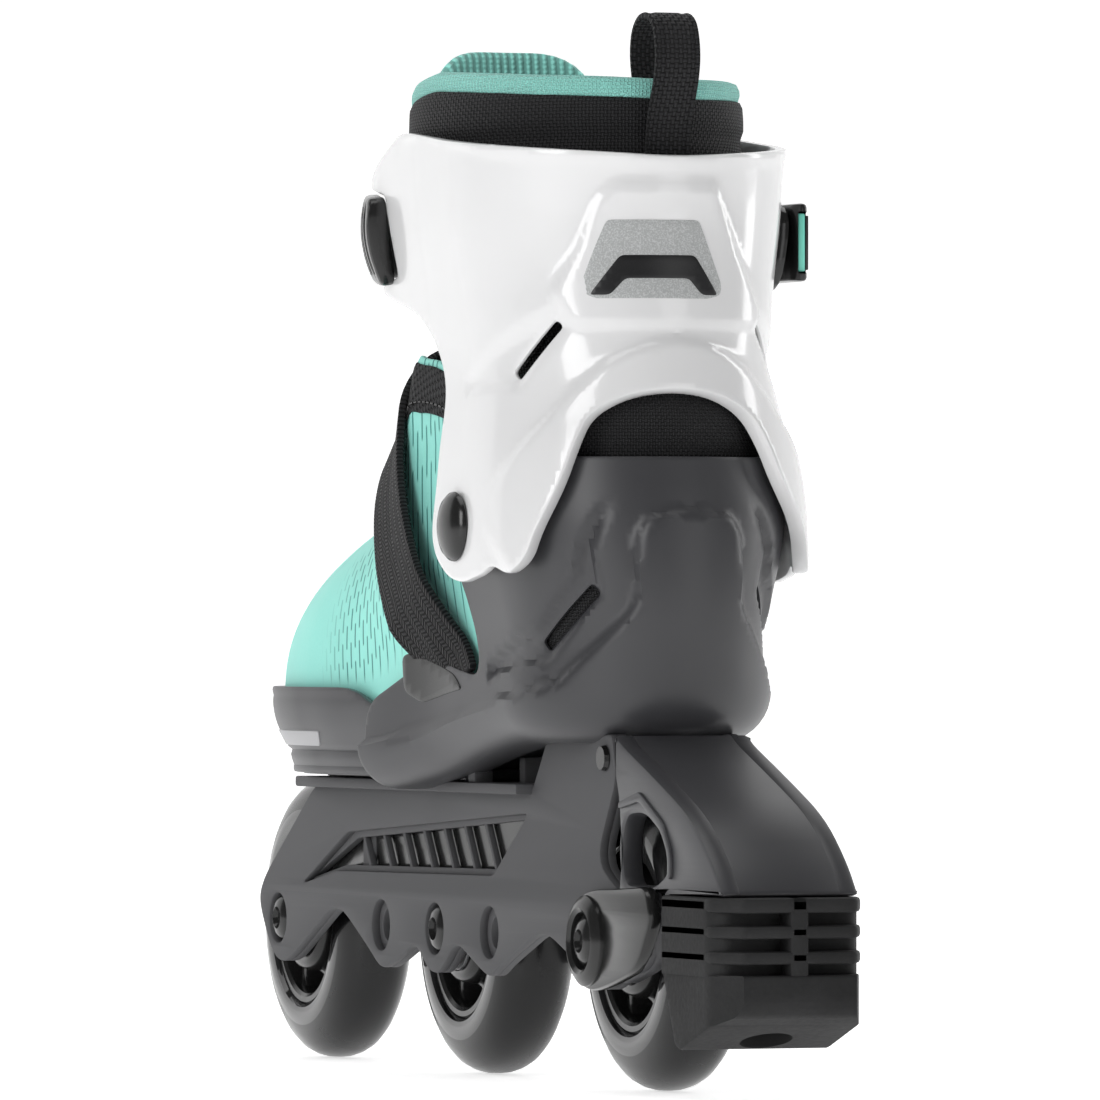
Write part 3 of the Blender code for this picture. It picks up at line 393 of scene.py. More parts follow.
def braid():
    paint = Paint("white_braid", (0.80, 0.80, 0.79), 0.8, sheen=0.3)
    plait_and_shade = paint.node("ShaderNodeTexWave", {"bands_direction": "DIAGONAL"},
                       {"Vector": paint.space(), "Scale": 420, "Distortion": 1.5})
    # painted shade: the low bands of the plait, where the bump sinks between strands, are darker
    paint.set("Base Color", paint.blend(plait_and_shade, (0.50, 0.51, 0.50), (0.86, 0.86, 0.85)))
    paint.bump(plait_and_shade, 0.6, 0.0005)
    return paint.material


def mint_plastic():
    colour = tuple(colours().button)
    paint = Paint("mint_plastic", colour, 0.25, coat=0.4)
    slow = paint.noise(50, 2)
    paint.set("Base Color", paint.blend(slow, shade(colour, 0.9), shade(colour, 1.12)))
    paint.set("Roughness", 0.2 + slow * 0.12)
    paint.bump(paint.noise(900, 2), 0.03)
    return paint.material


def patch_grey(name, colour, roughness):
    """Foil print with a fine sparkle."""
    paint = Paint(name, colour, roughness)
    speck = paint.noise(2600, 1)
    paint.set("Base Color", paint.blend(speck.smooth(0.4, 0.7), shade(colour, 0.85), shade(colour, 1.2)))
    paint.set("Roughness", roughness + speck * 0.15)
    paint.bump(speck, 0.05)
    return paint.material


def floor_paint():
    paint = Paint("floor", (0.95, 0.95, 0.95), 0.6)
    paint.set("Emission Color", (1, 1, 1, 1))
    paint.set("Emission Strength", 0.62)
    paint.set("Roughness", 0.5 + paint.noise(6, 2) * 0.1)
    return paint.material


PAINTS = {
    "cuff_white": cuff_white,
    "shell_grey": lambda: moulded("shell_grey", tuple(colours().shell), 0.36, 0.16, 1100, coat=0.10, wear=1.15),
    "frame_grey": lambda: moulded("frame_grey", tuple(colours().frame), 0.46, 0.42, 560, wear=1.22),
    "gloss_black": gloss_black,
    "tyre_black": tyre_black,
    "smoke_clear": smoke_clear,
    "steel": steel,
    "dark_steel": lambda: steel("dark_steel", 0.05, 0.16),
    "pad_rubber": pad_rubber,
    "ballistic": lambda: woven("ballistic", tuple(colours().cloth), 0.8, 0.7, light=3.4),
    "coarse_web": lambda: woven("coarse_web", tuple(colours().cloth), 1.15, 1.0, light=4.0),
    "strap_web": lambda: webbing("strap_web", tuple(colours().cloth), 3.6),
    "strap_plastic": lambda: moulded("strap_plastic", tuple(colours().gloss), 0.33, 0.12, 800, wear=1.4),
    "mint_skin": mint_skin,
    "mint_mesh": mint_mesh,
    "mint_rib": mint_rib,
    "white_braid": braid,
    "mint_plastic": mint_plastic,
    "patch_grey": lambda: patch_grey("patch_grey", tuple(colours().patch), 0.42),
    "patch_black": lambda: patch_grey("patch_black", (0.006, 0.006, 0.007), 0.30),
    "bar_grey": lambda: patch_grey("bar_grey", (0.13, 0.13, 0.135), 0.36),
    "floor": floor_paint,
}


def paint(name):
    return bpy.data.materials.get(name) or PAINTS[name]()


# Shapes -------------------------------------------------------------------------------------------------

def smooth_step(low, high, x):
    t = max(0.0, min(1.0, (x - low) / (high - low)))
    return t * t * (3 - 2 * t)


def curve_at(points, t):
    """A smooth curve through (t, value) pairs, held at its ends."""
    if t <= points[0][0]:
        return points[0][1]
    if t >= points[-1][0]:
        return points[-1][1]
    last = len(points) - 1
    i = max(k for k in range(last) if points[k][0] <= t)
    slopes = []
    for k in (i, i + 1):
        low, high = points[max(k - 1, 0)], points[min(k + 1, last)]
        slopes.append((high[1] - low[1]) / (high[0] - low[0]))
    (t0, y0), (t1, y1) = points[i], points[i + 1]
    span = t1 - t0
    h = (t - t0) / span
    return ((1 + 2 * h) * (1 - h) ** 2 * y0 + h * (1 - h) ** 2 * span * slopes[0]
            + h * h * (3 - 2 * h) * y1 + h * h * (h - 1) * span * slopes[1])


def rounded(loop, reach, steps=5):
    """The closed loop with its corners turned into arcs. A point's third value is its own reach."""
    out = []
    for k, point in enumerate(loop):
        here = Vector(point[:2])
        own = point[2] if len(point) > 2 else reach
        back = Vector(loop[k - 1][:2]) - here
        ahead = Vector(loop[(k + 1) % len(loop)][:2]) - here
        start = here + back.normalized() * min(own, 0.48 * back.length)
        end = here + ahead.normalized() * min(own, 0.48 * ahead.length)
        for i in range(steps + 1):
            t = i / steps
            out.append((1 - t) ** 2 * start + 2 * t * (1 - t) * here + t * t * end)
    return [(p.x, p.y) for p in out]


def mirrored(half):
    """A closed loop from its right half, listed from one end on the centre line to the other."""
    return list(half) + [(-p[0], *p[1:]) for p in reversed(half) if abs(p[0]) > 0.01]


def ring(cx, cy, r, steps=40):
    return [(cx + r * math.cos(2 * math.pi * k / steps), cy + r * math.sin(2 * math.pi * k / steps))
            for k in range(steps)]


def area_of(loop):
    return sum(a[0] * b[1] - b[0] * a[1] for a, b in zip(loop, loop[1:] + loop[:1])) / 2


def outline_mesh(loops, half, edge):
    """A flat outline with holes, extruded by half to both sides, its edges rounded by edge."""
    curve = bpy.data.curves.new("outline", "CURVE")
    curve.dimensions = "2D"
    curve.fill_mode = "BOTH"
    curve.extrude = half - edge
    curve.bevel_depth = edge
    curve.bevel_resolution = 1
    curve.offset = -edge
    for k, loop in enumerate(loops):
        if (area_of(loop) > 0) == (k == 0):
            loop = loop[::-1]          # the outside runs clockwise and its holes the other way
        spline = curve.splines.new("POLY")
        spline.points.add(len(loop) - 1)
        spline.use_cyclic_u = True
        for point, (x, y) in zip(spline.points, loop):
            point.co = (x, y, 0, 1)
    obj = bpy.data.objects.new("outline", curve)
    bpy.context.scene.collection.objects.link(obj)
    bm = mesh_of(obj)
    bpy.data.objects.remove(obj, do_unlink=True)
    bpy.data.curves.remove(curve)
    return bm


def mesh_of(obj):
    """The evaluated mesh of an object, merged, as a new bmesh."""
    bpy.context.view_layer.update()
    graph = bpy.context.evaluated_depsgraph_get()
    mesh = bpy.data.meshes.new_from_object(obj.evaluated_get(graph), depsgraph=graph)
    bm = bmesh.new()
    bm.from_mesh(mesh)
    bpy.data.meshes.remove(mesh)
    bmesh.ops.remove_doubles(bm, verts=bm.verts, dist=0.0008)
    return bm


def gridded(bm, step):
    """Cuts a flat mesh into cells of about step, and clears the fill's own edges inside each cell."""
    cells = []
    for axis in (0, 1):
        low = min(v.co[axis] for v in bm.verts)
        high = max(v.co[axis] for v in bm.verts)
        count = max(1, round((high - low) / step[axis]))
        cells.append((low, (high - low) / count))
        for k in range(1, count):
            point, normal = Vector((0, 0, 0)), Vector((0, 0, 0))
            point[axis], normal[axis] = low + (high - low) * k / count, 1
            bmesh.ops.bisect_plane(bm, geom=bm.verts[:] + bm.edges[:] + bm.faces[:], dist=0.02,
                                   plane_co=point, plane_no=normal)
    bm.normal_update()

    def cell_of(face):
        centre = face.calc_center_median()
        return [int((centre[axis] - low) / size) for axis, (low, size) in enumerate(cells)]

    inner = [e for e in bm.edges if len(e.link_faces) == 2
             and abs(e.link_faces[0].normal.z) > 0.99 and abs(e.link_faces[1].normal.z) > 0.99
             and cell_of(e.link_faces[0]) == cell_of(e.link_faces[1])]
    bmesh.ops.dissolve_edges(bm, edges=inner, use_verts=True)
    bmesh.ops.triangulate(bm, faces=[f for f in bm.faces if len(f.verts) > 4])
    return bm


def bent(place, u, v, w):
    """The point at height w over the surface place(u, v)."""
    e = 0.25
    along = Vector(place(u + e, v)) - Vector(place(u - e, v))
    up = Vector(place(u, v + e)) - Vector(place(u, v - e))
    return Vector(place(u, v)) + w * along.cross(up).normalized()


def formed(loops, thickness, step, place, edge=0.5, relief=None, lift=0.0):
    """An outline in (u, v) with a rounded edge, bent over place(u, v). relief(u, v) moves its outer face."""
    bm = gridded(outline_mesh(loops, thickness / 2, edge), step)
    for spare in list(bm.loops.layers.uv.values()):
        bm.loops.layers.uv.remove(spare)
    flat = bm.loops.layers.uv.new("Flat")
    for face in bm.faces:
        for corner in face.loops:
            corner[flat].uv = corner.vert.co.xy / 10
    for vert in bm.verts:
        u, v, w = vert.co
        raised = relief(u, v) if relief and w > 0 else 0.0
        vert.co = bent(place, u, v, w + raised + lift)
    return bm


SIDEWAYS = Matrix(((0, 0, 1, 0), (1, 0, 0, 0), (0, 1, 0, 0), (0, 0, 0, 1)))


def side_plate(loops, x0, x1, edge=0.5):
    """An outline of (Y, Z) points with holes, extruded across from x0 to x1, its edges rounded."""
    bm = outline_mesh(loops, (x1 - x0) / 2, edge)
    middle = Matrix.Translation(((x0 + x1) / 2, 0, 0))
    bmesh.ops.transform(bm, verts=bm.verts, matrix=middle @ SIDEWAYS)
    return bm


def upright(loops, z0, z1, edge):
    """A plan outline with holes, extruded from z0 up to z1, its edges rounded."""
    bm = outline_mesh(loops, (z1 - z0) / 2, edge)
    bmesh.ops.translate(bm, verts=bm.verts, vec=(0, 0, (z0 + z1) / 2))
    return bm


def turned(profile, centre, steps=None):
    """A closed or pole-to-pole profile of (x, r) points, turned about the X axis through centre."""
    steps = steps or sizes().turn_steps
    bm = bmesh.new()
    verts = [bm.verts.new((x, 0, -r)) for x, r in profile]
    edges = [bm.edges.new(pair) for pair in zip(verts, verts[1:])]
    if profile[0][1] > 0:
        edges.append(bm.edges.new((verts[-1], verts[0])))
    bmesh.ops.spin(bm, geom=verts + edges, cent=(0, 0, 0), axis=(1, 0, 0), angle=2 * math.pi, steps=steps,
                   use_merge=True)
    bmesh.ops.translate(bm, verts=bm.verts, vec=centre)
    return bm


def block(low, high, edge=0.6):
    """A box between two corners, its edges rounded."""
    bm = bmesh.new()
    bmesh.ops.create_cube(bm, size=1)
    bmesh.ops.scale(bm, verts=bm.verts, vec=[b - a for a, b in zip(low, high)])
    bmesh.ops.translate(bm, verts=bm.verts, vec=[(a + b) / 2 for a, b in zip(low, high)])
    bmesh.ops.bevel(bm, geom=bm.edges[:], offset=edge, segments=2, affect="EDGES", profile=0.5, material=-1)
    return bm


def rod(start, end, r, steps=32, r_end=None):
    bm = bmesh.new()
    start, end = Vector(start), Vector(end)
    run = end - start
    bmesh.ops.create_cone(bm, cap_ends=True, segments=steps, radius1=r, radius2=r if r_end is None else r_end,
                          depth=run.length)
    turn = run.to_track_quat("Z", "Y").to_matrix().to_4x4()
    bmesh.ops.transform(bm, verts=bm.verts, matrix=Matrix.Translation((start + end) / 2) @ turn)
    return bm


def together(*meshes):
    """Several bmeshes as one, each keeping the material number it was given."""
    whole = bmesh.new()
    for bm in meshes:
        held = bpy.data.meshes.new("held")
        bm.to_mesh(held)
        bm.free()
        whole.from_mesh(held)
        bpy.data.meshes.remove(held)
    return whole


def painted(bm, number):
    for face in bm.faces:
        face.material_index = number
    return bm


CREASE = math.radians(38)


def keep(name, bm, body, paints, replaces=()):
    """Writes bm, in millimetres, as a finished piece at the origin. It rides on body, when one is given."""
    bmesh.ops.remove_doubles(bm, verts=bm.verts, dist=0.002)
    bmesh.ops.dissolve_degenerate(bm, edges=bm.edges[:], dist=0.002)
    bmesh.ops.recalc_face_normals(bm, faces=bm.faces)
    bmesh.ops.scale(bm, verts=bm.verts, vec=(MM, MM, MM))
    mesh = bpy.data.meshes.new(name)
    bm.to_mesh(mesh)
    bm.free()
    obj = bpy.data.objects.new(name, mesh)
    bpy.context.scene.collection.objects.link(obj)
    for each in paints:
        mesh.materials.append(paint(each))
    mesh.shade_smooth()
    mesh.set_sharp_from_angle(angle=CREASE)
    if body:
        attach(obj, body)
    if replaces:
        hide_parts(*replaces)
    return obj


def repaint(name, *nodes):
    """Gives a carried-over CAD node a finish."""
    for node in nodes:
        mesh = frame["nodes"][node].data
        mesh.materials.clear()
        mesh.materials.append(paint(name))


# Distances in a piece's flat pattern

def to_edge(loop, u, v):
    """Distance to a closed loop, positive inside it."""
    nearest, inside = 1e9, False
    for (u0, v0), (u1, v1) in zip(loop, loop[1:] + loop[:1]):
        du, dv = u1 - u0, v1 - v0
        t = max(0.0, min(1.0, ((u - u0) * du + (v - v0) * dv) / (du * du + dv * dv + 1e-9)))
        nearest = min(nearest, math.hypot(u - u0 - t * du, v - v0 - t * dv))
        if (v0 > v) != (v1 > v) and u < u0 + (v - v0) * du / dv:
            inside = not inside
    return nearest if inside else -nearest


def pad_of(loop, height, slope):
    """A relief that rises to height inside the loop, over a slope centred on its edge."""
    def relief(u, v):
        return height * smooth_step(-slope / 2, slope / 2, to_edge(loop, u, v))
    return relief


def sum_of(*reliefs):
    return lambda u, v: sum(relief(u, v) for relief in reliefs)


def both_ways(relief):
    """A relief given for positive u, used on both sides."""
    return lambda u, v: relief(abs(u), v)


# Wheels -------------------------------------------------------------------------------------------------

TYRE_PROFILE = [(0.0, 38.0), (2.2, 37.9), (4.4, 37.3), (6.4, 36.2), (8.2, 34.3), (9.6, 31.9), (10.5, 29.2),
                (10.9, 26.6), (10.6, 24.4), (9.4, 23.7)]
SMOKE_BELOW_R = 29.3
SPOKES = 6


def make_tyre(place):
    centre = WHEEL_AT[place]
    profile = TYRE_PROFILE + [(-x, r) for x, r in reversed(TYRE_PROFILE[1:])]
    bm = turned(profile, (0, 0, 0))
    for face in bm.faces:
        middle = face.calc_center_median()
        face.material_index = 1 if math.hypot(middle.y, middle.z) < SMOKE_BELOW_R else 0
    bmesh.ops.translate(bm, verts=bm.verts, vec=centre)
    return keep(f"wheel_tyre_{place}", bm, f"wheel_{place}", ("tyre_black", "smoke_clear"),
                (f"tyre_{place}",))


def spoke(turn):
    """One swept spoke between the sleeve and the rim, as a bevelled plate."""
    left, right = [], []
    for k in range(9):
        t = k / 8
        r = 13.2 + 8.2 * t
        a = turn + 0.62 * math.sin(t * math.pi / 2) + 0.10 * math.sin(t * 2 * math.pi)
        half = (1.5 + 1.5 * (2 * t - 1) ** 2) / r
        left.append((r * math.sin(a - half), r * math.cos(a - half)))
        right.append((r * math.sin(a + half), r * math.cos(a + half)))
    return side_plate([left + right[::-1]], -6.2, 6.2, 0.6)


def make_hub(place):
    centre = WHEEL_AT[place]
    rim = [(9.0, 23.5), (9.6, 23.0), (9.6, 21.6), (8.8, 20.7), (6.0, 20.4), (-6.0, 20.4), (-8.8, 20.7),
           (-9.6, 21.6), (-9.6, 23.0), (-9.0, 23.5)]
    sleeve = [(11.0, 11.15), (11.0, 12.4), (10.2, 13.6), (7.6, 14.6), (-7.6, 14.6), (-10.2, 13.6), (-11.0, 12.4),
              (-11.0, 11.15), (-4.2, 11.15), (-4.2, 9.0), (4.2, 9.0), (4.2, 11.15)]
    parts = [turned(rim, (0, 0, 0)), turned(sleeve, (0, 0, 0), 64)]
    parts += [spoke(2 * math.pi * k / SPOKES) for k in range(SPOKES)]
    bm = together(*parts)
    bmesh.ops.translate(bm, verts=bm.verts, vec=centre)
    return keep(f"wheel_core_{place}", bm, f"wheel_{place}", ("gloss_black",), (f"hub_{place}",))


def make_axle_heads(place):
    """The domed axle head at each side, with its key socket."""
    for node, side in ((f"axle_{place}", -1), (f"axle_screw_{place}", 1)):
        low, high = (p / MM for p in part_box(node))
        face = low.x if side < 0 else high.x
        seat = face - side * 2.0
        centre = WHEEL_AT[place]
        dome = [(seat, 0), (seat, 6.15), (seat + side * 0.5, 6.2), (seat + side * 1.3, 5.7),
                (seat + side * 2.1, 4.5), (seat + side * 2.5, 3.0), (seat + side * 1.2, 2.5),
                (seat + side * 1.0, 0)]
        bm = turned(dome, (0, centre.y, centre.z), 48)
        inner = rod((seat - side * 0.1, centre.y, centre.z), (side * 5.5, centre.y, centre.z), 3.85, 32)
        keep(f"head_{node}", together(bm, inner), "boot", ("gloss_black",), (node,))


class SKATE_OT_wheels(bpy.types.Operator):
    """Tyres with their smoky inner band, spoked cores, and axle heads"""
    bl_idname = "skate.wheels"
    bl_label = "Wheels"

    def execute(self, context):
        for place in WHEELS:
            make_tyre(place)
            make_hub(place)
            make_axle_heads(place)
            repaint("steel", f"bearing_{place}_left", f"bearing_{place}_right", f"spacer_{place}")
        return {"FINISHED"}


# Frame --------------------------------------------------------------------------------------------------

PLATE_IN, PLATE_STEP, PLATE_OUT = 13.0, 15.2, 17.5
DECK_Z = (74.0, 76.8)
SPARE_HOLES = (AXLE_ROW[0] / 3, AXLE_ROW[2] / 3)
FRAME_OUTLINE = [(-71.6, 75.2, 2), (90.7, 75.2, 6), (132.7, 49, 6), (137.4, 43, 5), (129, 31, 9), (121, 25.8, 6),
                 (111.5, 27.4, 5), (75, 43.6, 10), (50, 31.5, 5), (40.5, 26.2, 7), (33, 28, 4), (14, 34, 5),
                 (5.5, 27.5, 5), (0, 26.2, 4), (-5.5, 27.5, 4), (-16, 35, 5), (-35, 28, 5), (-41, 26.3, 5),
                 (-48, 29.5, 5), (-79, 40, 10), (-109, 30, 6), (-121.5, 24.8, 7), (-132, 28, 3), (-133, 50.6, 3),
                 (-117, 58, 8), (-131, 79, 4), (-128, 90, 2), (-83, 89, 3)]
WINDOW = [(99, 49.4), (64, 60.6), (-66, 67.6), (-41, 54.4), (72.6, 53.3)]


def window_loop(grow):
    """The window's loop, moved outward by grow."""
    middle = (20.0, 57.0)
    return [(y + math.copysign(grow * 1.6, y - middle[0]), z + math.copysign(grow, z - middle[1]))
            for y, z in WINDOW]


def make_frame():
    parts = []
    outline = rounded(FRAME_OUTLINE, 3)
    window = rounded(window_loop(0), 2.0)
    opening = rounded(window_loop(1.5), 2.5)
    bores = [ring(y, WHEEL_R, 4.15) for y in (*AXLE_ROW, *SPARE_HOLES)]
    seats = [ring(y, WHEEL_R, 6.7) for y in (AXLE_ROW[0], AXLE_ROW[1], *SPARE_HOLES)] + bores[2:3]
    for side in (-1, 1):
        inner, step, outer = side * PLATE_IN, side * PLATE_STEP, side * PLATE_OUT
        parts.append(side_plate([outline, window, *bores], *sorted((inner, step)), 0.3))
        parts.append(side_plate([outline, opening, *seats], *sorted((step - side * 0.4, outer)), 0.7))
        for k in range(7):
            y = 58 - 15.5 * k
            z = curve_at([(-66, 61.4), (64, 57.0)], y)
            rib = [(y - 5.4, z - 6.2), (y - 3.6, z - 6.2), (y + 4.4, z + 5.8), (y + 2.6, z + 5.8)]
            parts.append(side_plate([rounded(rib, 0.3, 2)], *sorted((side * 13.2, side * 15.0)), 0.25))
        parts.append(block(*sorted_box((inner - side * 0.5, -72, DECK_Z[0]), (side * 22, 95, DECK_Z[1]))))
        for y in (-38, -6, 26):
            parts.append(block(*sorted_box((side * 15, y, 76), (side * 20.5, y + 5, 84)), 0.8))
    inner = PLATE_IN + 0.3
    parts += [
        block((-inner, 24, DECK_Z[0]), (inner, 95, DECK_Z[1])),
        block((-inner, -69, DECK_Z[0]), (inner, -24, DECK_Z[1])),
        block((-inner, 56, 46), (inner, 66, 75), 1.0),
        block((-inner, -66, 46), (inner, -56, 75), 1.0),
        block((-inner, -100, 83.5), (inner, -84, 88), 1.0),
        block((-12, -52, 76), (12, -48, 83.4), 0.8),
    ]
    return keep("wheel_frame", together(*parts), "boot", ("frame_grey",), ("frame",))


def sorted_box(a, b):
    return [tuple(f(pair) for pair in zip(a, b)) for f in (min, max)]


def make_window_shade_sheets():
    """Thin gloss black sheets behind the window's ribs: a backing wall, and painted shade for the dark inside seen
    through the window.
    """
    parts = [side_plate([rounded([(y, z, 2) for y, z in window_loop(0.9)], 2)],
                        *sorted((side * 11.7, side * 12.8)), 0.2) for side in (-1, 1)]
    return keep("window_shade_sheet", together(*parts), "boot", ("gloss_black",))


class SKATE_OT_frame(bpy.types.Operator):
    """Frame walls with counterbored axle seats and a ribbed window"""
    bl_idname = "skate.frame"
    bl_label = "Frame"

    def execute(self, context):
        make_frame()
        make_window_shade_sheets()
        repaint("dark_steel", "frame_bolt_front", "frame_bolt_rear")
        return {"FINISHED"}


# Brake --------------------------------------------------------------------------------------------------

def make_brake_arm():
    cheek = [(-131.6, 90, 1), (-136, 87.6, 4), (-160, 79, 10), (-183.5, 70, 12), (-198, 59, 10), (-205, 50.8, 2),
             (-167.4, 50.8, 3), (-165, 45, 5), (-155, 32, 8), (-134, 27.2, 3), (-134, 50, 2), (-136, 60, 8),
             (-134, 74, 4), (-131.6, 79.5, 1)]
    eye = [(-136.8, 62, 3), (-139.5, 69.8, 4), (-152, 70.6, 5), (-167.5, 63.5, 4), (-168, 56, 4),
           (-158, 52.2, 4), (-138.5, 52.6, 4)]
    spine = [(-131.6, 90, 1), (-136, 87.6, 4), (-160, 79, 10), (-183.5, 70, 12), (-198, 59, 10), (-205, 50.8, 2),
             (-170, 50.8, 2), (-166, 62, 8), (-150, 71.5, 8), (-137, 77, 3), (-133.5, 78, 1)]
    leg = [(-109.2, 38, 9), (-112.5, 28.5, 8), (-121.5, 25.0, 7), (-135, 27.0, 6), (-155, 31.5, 7), (-165, 45, 4),
           (-161, 52.5, 4), (-140, 51.5, 6), (-121.5, 51, 9), (-112, 47.5, 8)]
    bore = ring(WHEEL_AT["rear"].y, WHEEL_R, 6.6)
    parts = [side_plate([rounded(spine, 2)], -14.5, 14.5, 1.6)]
    for side in (-1, 1):
        parts.append(side_plate([rounded(cheek, 2), rounded(eye, 3)], *sorted((side * 12.4, side * 18.2)), 1.3))
        parts.append(painted(side_plate([rounded(leg, 3), bore], *sorted((side * 17.8, side * 21.6)), 1.1), 1))
        brow = [(-136, 73.2, 1), (-150, 76.0, 2), (-166, 68.5, 3), (-172, 61, 3), (-171.5, 54.5, 2),
                (-169.2, 54.5, 1), (-169.6, 60.5, 3), (-164.5, 66.6, 3), (-150, 73.4, 2), (-136, 71.4, 1)]
        parts.append(side_plate([rounded(brow, 1)], *sorted((side * 17.6, side * 19.0)), 0.5))
        foot = [(-135.5, 28, 2), (-155, 32, 5), (-164, 45, 4), (-160, 52, 4), (-140, 51, 4), (-135.5, 50.5, 2)]
        parts.append(side_plate([rounded(foot, 3)], *sorted((side * 16.5, side * 20.0)), 0.5))
    return keep("brake_body", together(*parts), "boot", ("shell_grey", "gloss_black"), ("brake_arm",))


PAD_PLAN = [(20, -168, 1), (20, -201, 2), (18.0, -205, 2), (15.2, -210.6, 1.5)]
PAD_SLOTS, SLOT_HIGH = (31.2, 37.5, 43.8), 3.1
PAD_FOOT, PAD_TOP = 30.6, 50.6


def make_brake_pad():
    """The rubber pad: a wedge foot, and over it a core with a fin above each slot."""
    plan = rounded(mirrored(PAD_PLAN), 1, 4)
    foot = [(-168.6, 31.6, 1), (-177, 13.4, 2), (-180.5, 12.4, 1.5), (-209, 21.6, 2), (-211, 25, 2),
            (-210.8, 31.6, 0.8)]
    wedge = gridded(outline_mesh([rounded(foot, 1, 4)], 20, 0.9), (2.0, 2.0))
    bmesh.ops.transform(wedge, verts=wedge.verts, matrix=SIDEWAYS)
    for vert in wedge.verts:
        most = curve_at([(-211, 14.9), (-205, 17.6), (-200, 20.0)], vert.co.y)
        vert.co.x = max(-most, min(most, vert.co.x))
    base = keep("brake_stop", wedge, "boot", ("pad_rubber",), ("brake_pad",))
    carve(base, rod((0, -190.5, 8), (0, -184.5, 27), 6.6, 48))
    core = rounded(mirrored([(20, -168, 1), (20, -199, 2), (17.0, -203.6, 2)]), 1, 4)
    parts = [upright([core], PAD_FOOT, PAD_TOP, 1.0),
             block((-2.5, -210.6, PAD_FOOT + 0.2), (2.5, -200, PAD_TOP), 0.9)]
    parts += [upright([plan], slot + SLOT_HIGH, above, 0.9)
              for slot, above in zip(PAD_SLOTS, (*PAD_SLOTS[1:], PAD_TOP))]
    keep("brake_fins", together(*parts), "boot", ("pad_rubber",))
    return base


def make_axle_cups():
    """The raised round caps over the brake arm's feet at the rear axle."""
    y, z = WHEEL_AT["rear"].yz
    for side, sign in (("left", -1), ("right", 1)):
        x = sign * 21.2
        cup = [(x, 11.6), (x + sign * 1.2, 11.4), (x + sign * 2.4, 9.8), (x + sign * 2.8, 8.4),
               (x + sign * 2.0, 7.3), (x, 7.0)]
        keep(f"axle_cup_{side}", turned(cup, (0, y, z), 64), "boot", ("gloss_black",),
             (f"axle_cap_{side}",))


class SKATE_OT_brake(bpy.types.Operator):
    """Brake arm with its side windows, slotted rubber pad and rear axle cups"""
    bl_idname = "skate.brake"
    bl_label = "Brake"

    def execute(self, context):
        make_brake_arm()
        make_brake_pad()
        make_axle_cups()
        repaint("dark_steel", "brake_screw_left", "brake_screw_right", "brake_pad_screw")
        return {"FINISHED"}


# Shell --------------------------------------------------------------------------------------------------

SOLE_ROUND, HEEL_Y, HEEL_ARC = 9.0, -95.0, 60.0
SOLE_LINE = [(-140, 91), (-90, 91), (-60, 87.5), (-30, 81.5), (0, 77.9), (130, 77.6)]
REAR_LINE = [(91, -131), (97, -133), (104, -134.8), (125, -138), (145, -137), (160, -133.4)]
HALF_LOW = [(-95, 31.5), (-60, 32), (-40, 33), (-10, 38), (20, 41), (50, 42)]
HALF_HIGH = [(100, 0), (113, 0.3), (124, 2.2), (142, 6.2), (160, 5.0)]


def sole_z(y):
    return curve_at(SOLE_LINE, y)


def shell_place(u, v):
    """u runs round the plan from the rear centre, v up the wall from the top of the sole's rounding."""
    run = abs(u)
    angle = min(run / HEEL_ARC, 1) * math.pi / 2
    inset, z_round = 0.0, 0.0
    if v < 0:
        bend = min(-v / SOLE_ROUND, math.pi / 2)
        z_round = -SOLE_ROUND * math.sin(bend)
        inset = SOLE_ROUND * (1 - math.cos(bend)) + max(-v - SOLE_ROUND * math.pi / 2, 0)
    y = HEEL_Y + max(run - HEEL_ARC, 0)
    base = sole_z(HEEL_Y if run < HEEL_ARC else y) + SOLE_ROUND
    z = base + z_round + max(v, 0)
    half = max(curve_at(HALF_LOW, y) + curve_at(HALF_HIGH, z) - inset, 0.4)
    depth = max(HEEL_Y - curve_at(REAR_LINE, z) - inset, 0.4)
    if run < HEEL_ARC:
        y = HEEL_Y - depth * math.cos(angle)
    return (math.copysign(half * math.sin(angle), u), y, z)


def shell_uv(y, z):
    """The (u, v) of a point of the right wall seen from the side."""
    if y < HEEL_Y:
        depth = HEEL_Y - curve_at(REAR_LINE, z)
        run = HEEL_ARC * math.acos(min(1, (HEEL_Y - y) / depth)) / (math.pi / 2)
    else:
        run = HEEL_ARC + y - HEEL_Y
    return run, z - sole_z(max(y, HEEL_Y)) - SOLE_ROUND


SHELL_SIDES = [(-8, 97), (-41, 110), (-56, 106.5), (-75, 104), (-73, 118), (-67, 140), (-68, 152), (-74, 158),
               (-100, 160), (-118, 160)]
SHELL_SLOT = [(27.5, 27.5), (25.5, 25.0), (43.0, 10.5), (45.5, 13.0)]
SHELL_SCOOP = [(20.5, 47), (25.5, 37), (25.0, 25), (42, 8.5), (73, 5.0), (74, 7.5), (55, 13.5), (46.5, 15.5),
               (31, 29.5), (28.5, 38)]
SHELL_BODY = [(-20, 45.8), (0, 45.8), (11, 44), (13.5, 39.5), (15, 24), (17.5, 20), (37, 3), (58, -0.5), (92, -2),
              (160, 0), (160, -40), (-20, -40)]


def shell_relief():
    body = pad_of(SHELL_BODY, 2.4, 2.0)
    scoop = pad_of(SHELL_SCOOP, -1.9, 1.8)

    def seam(u, v):
        return -0.25 * smooth_step(0.9, 0.2, abs(u)) if v > 0 else 0.0
    return sum_of(both_ways(sum_of(body, scoop)), seam)


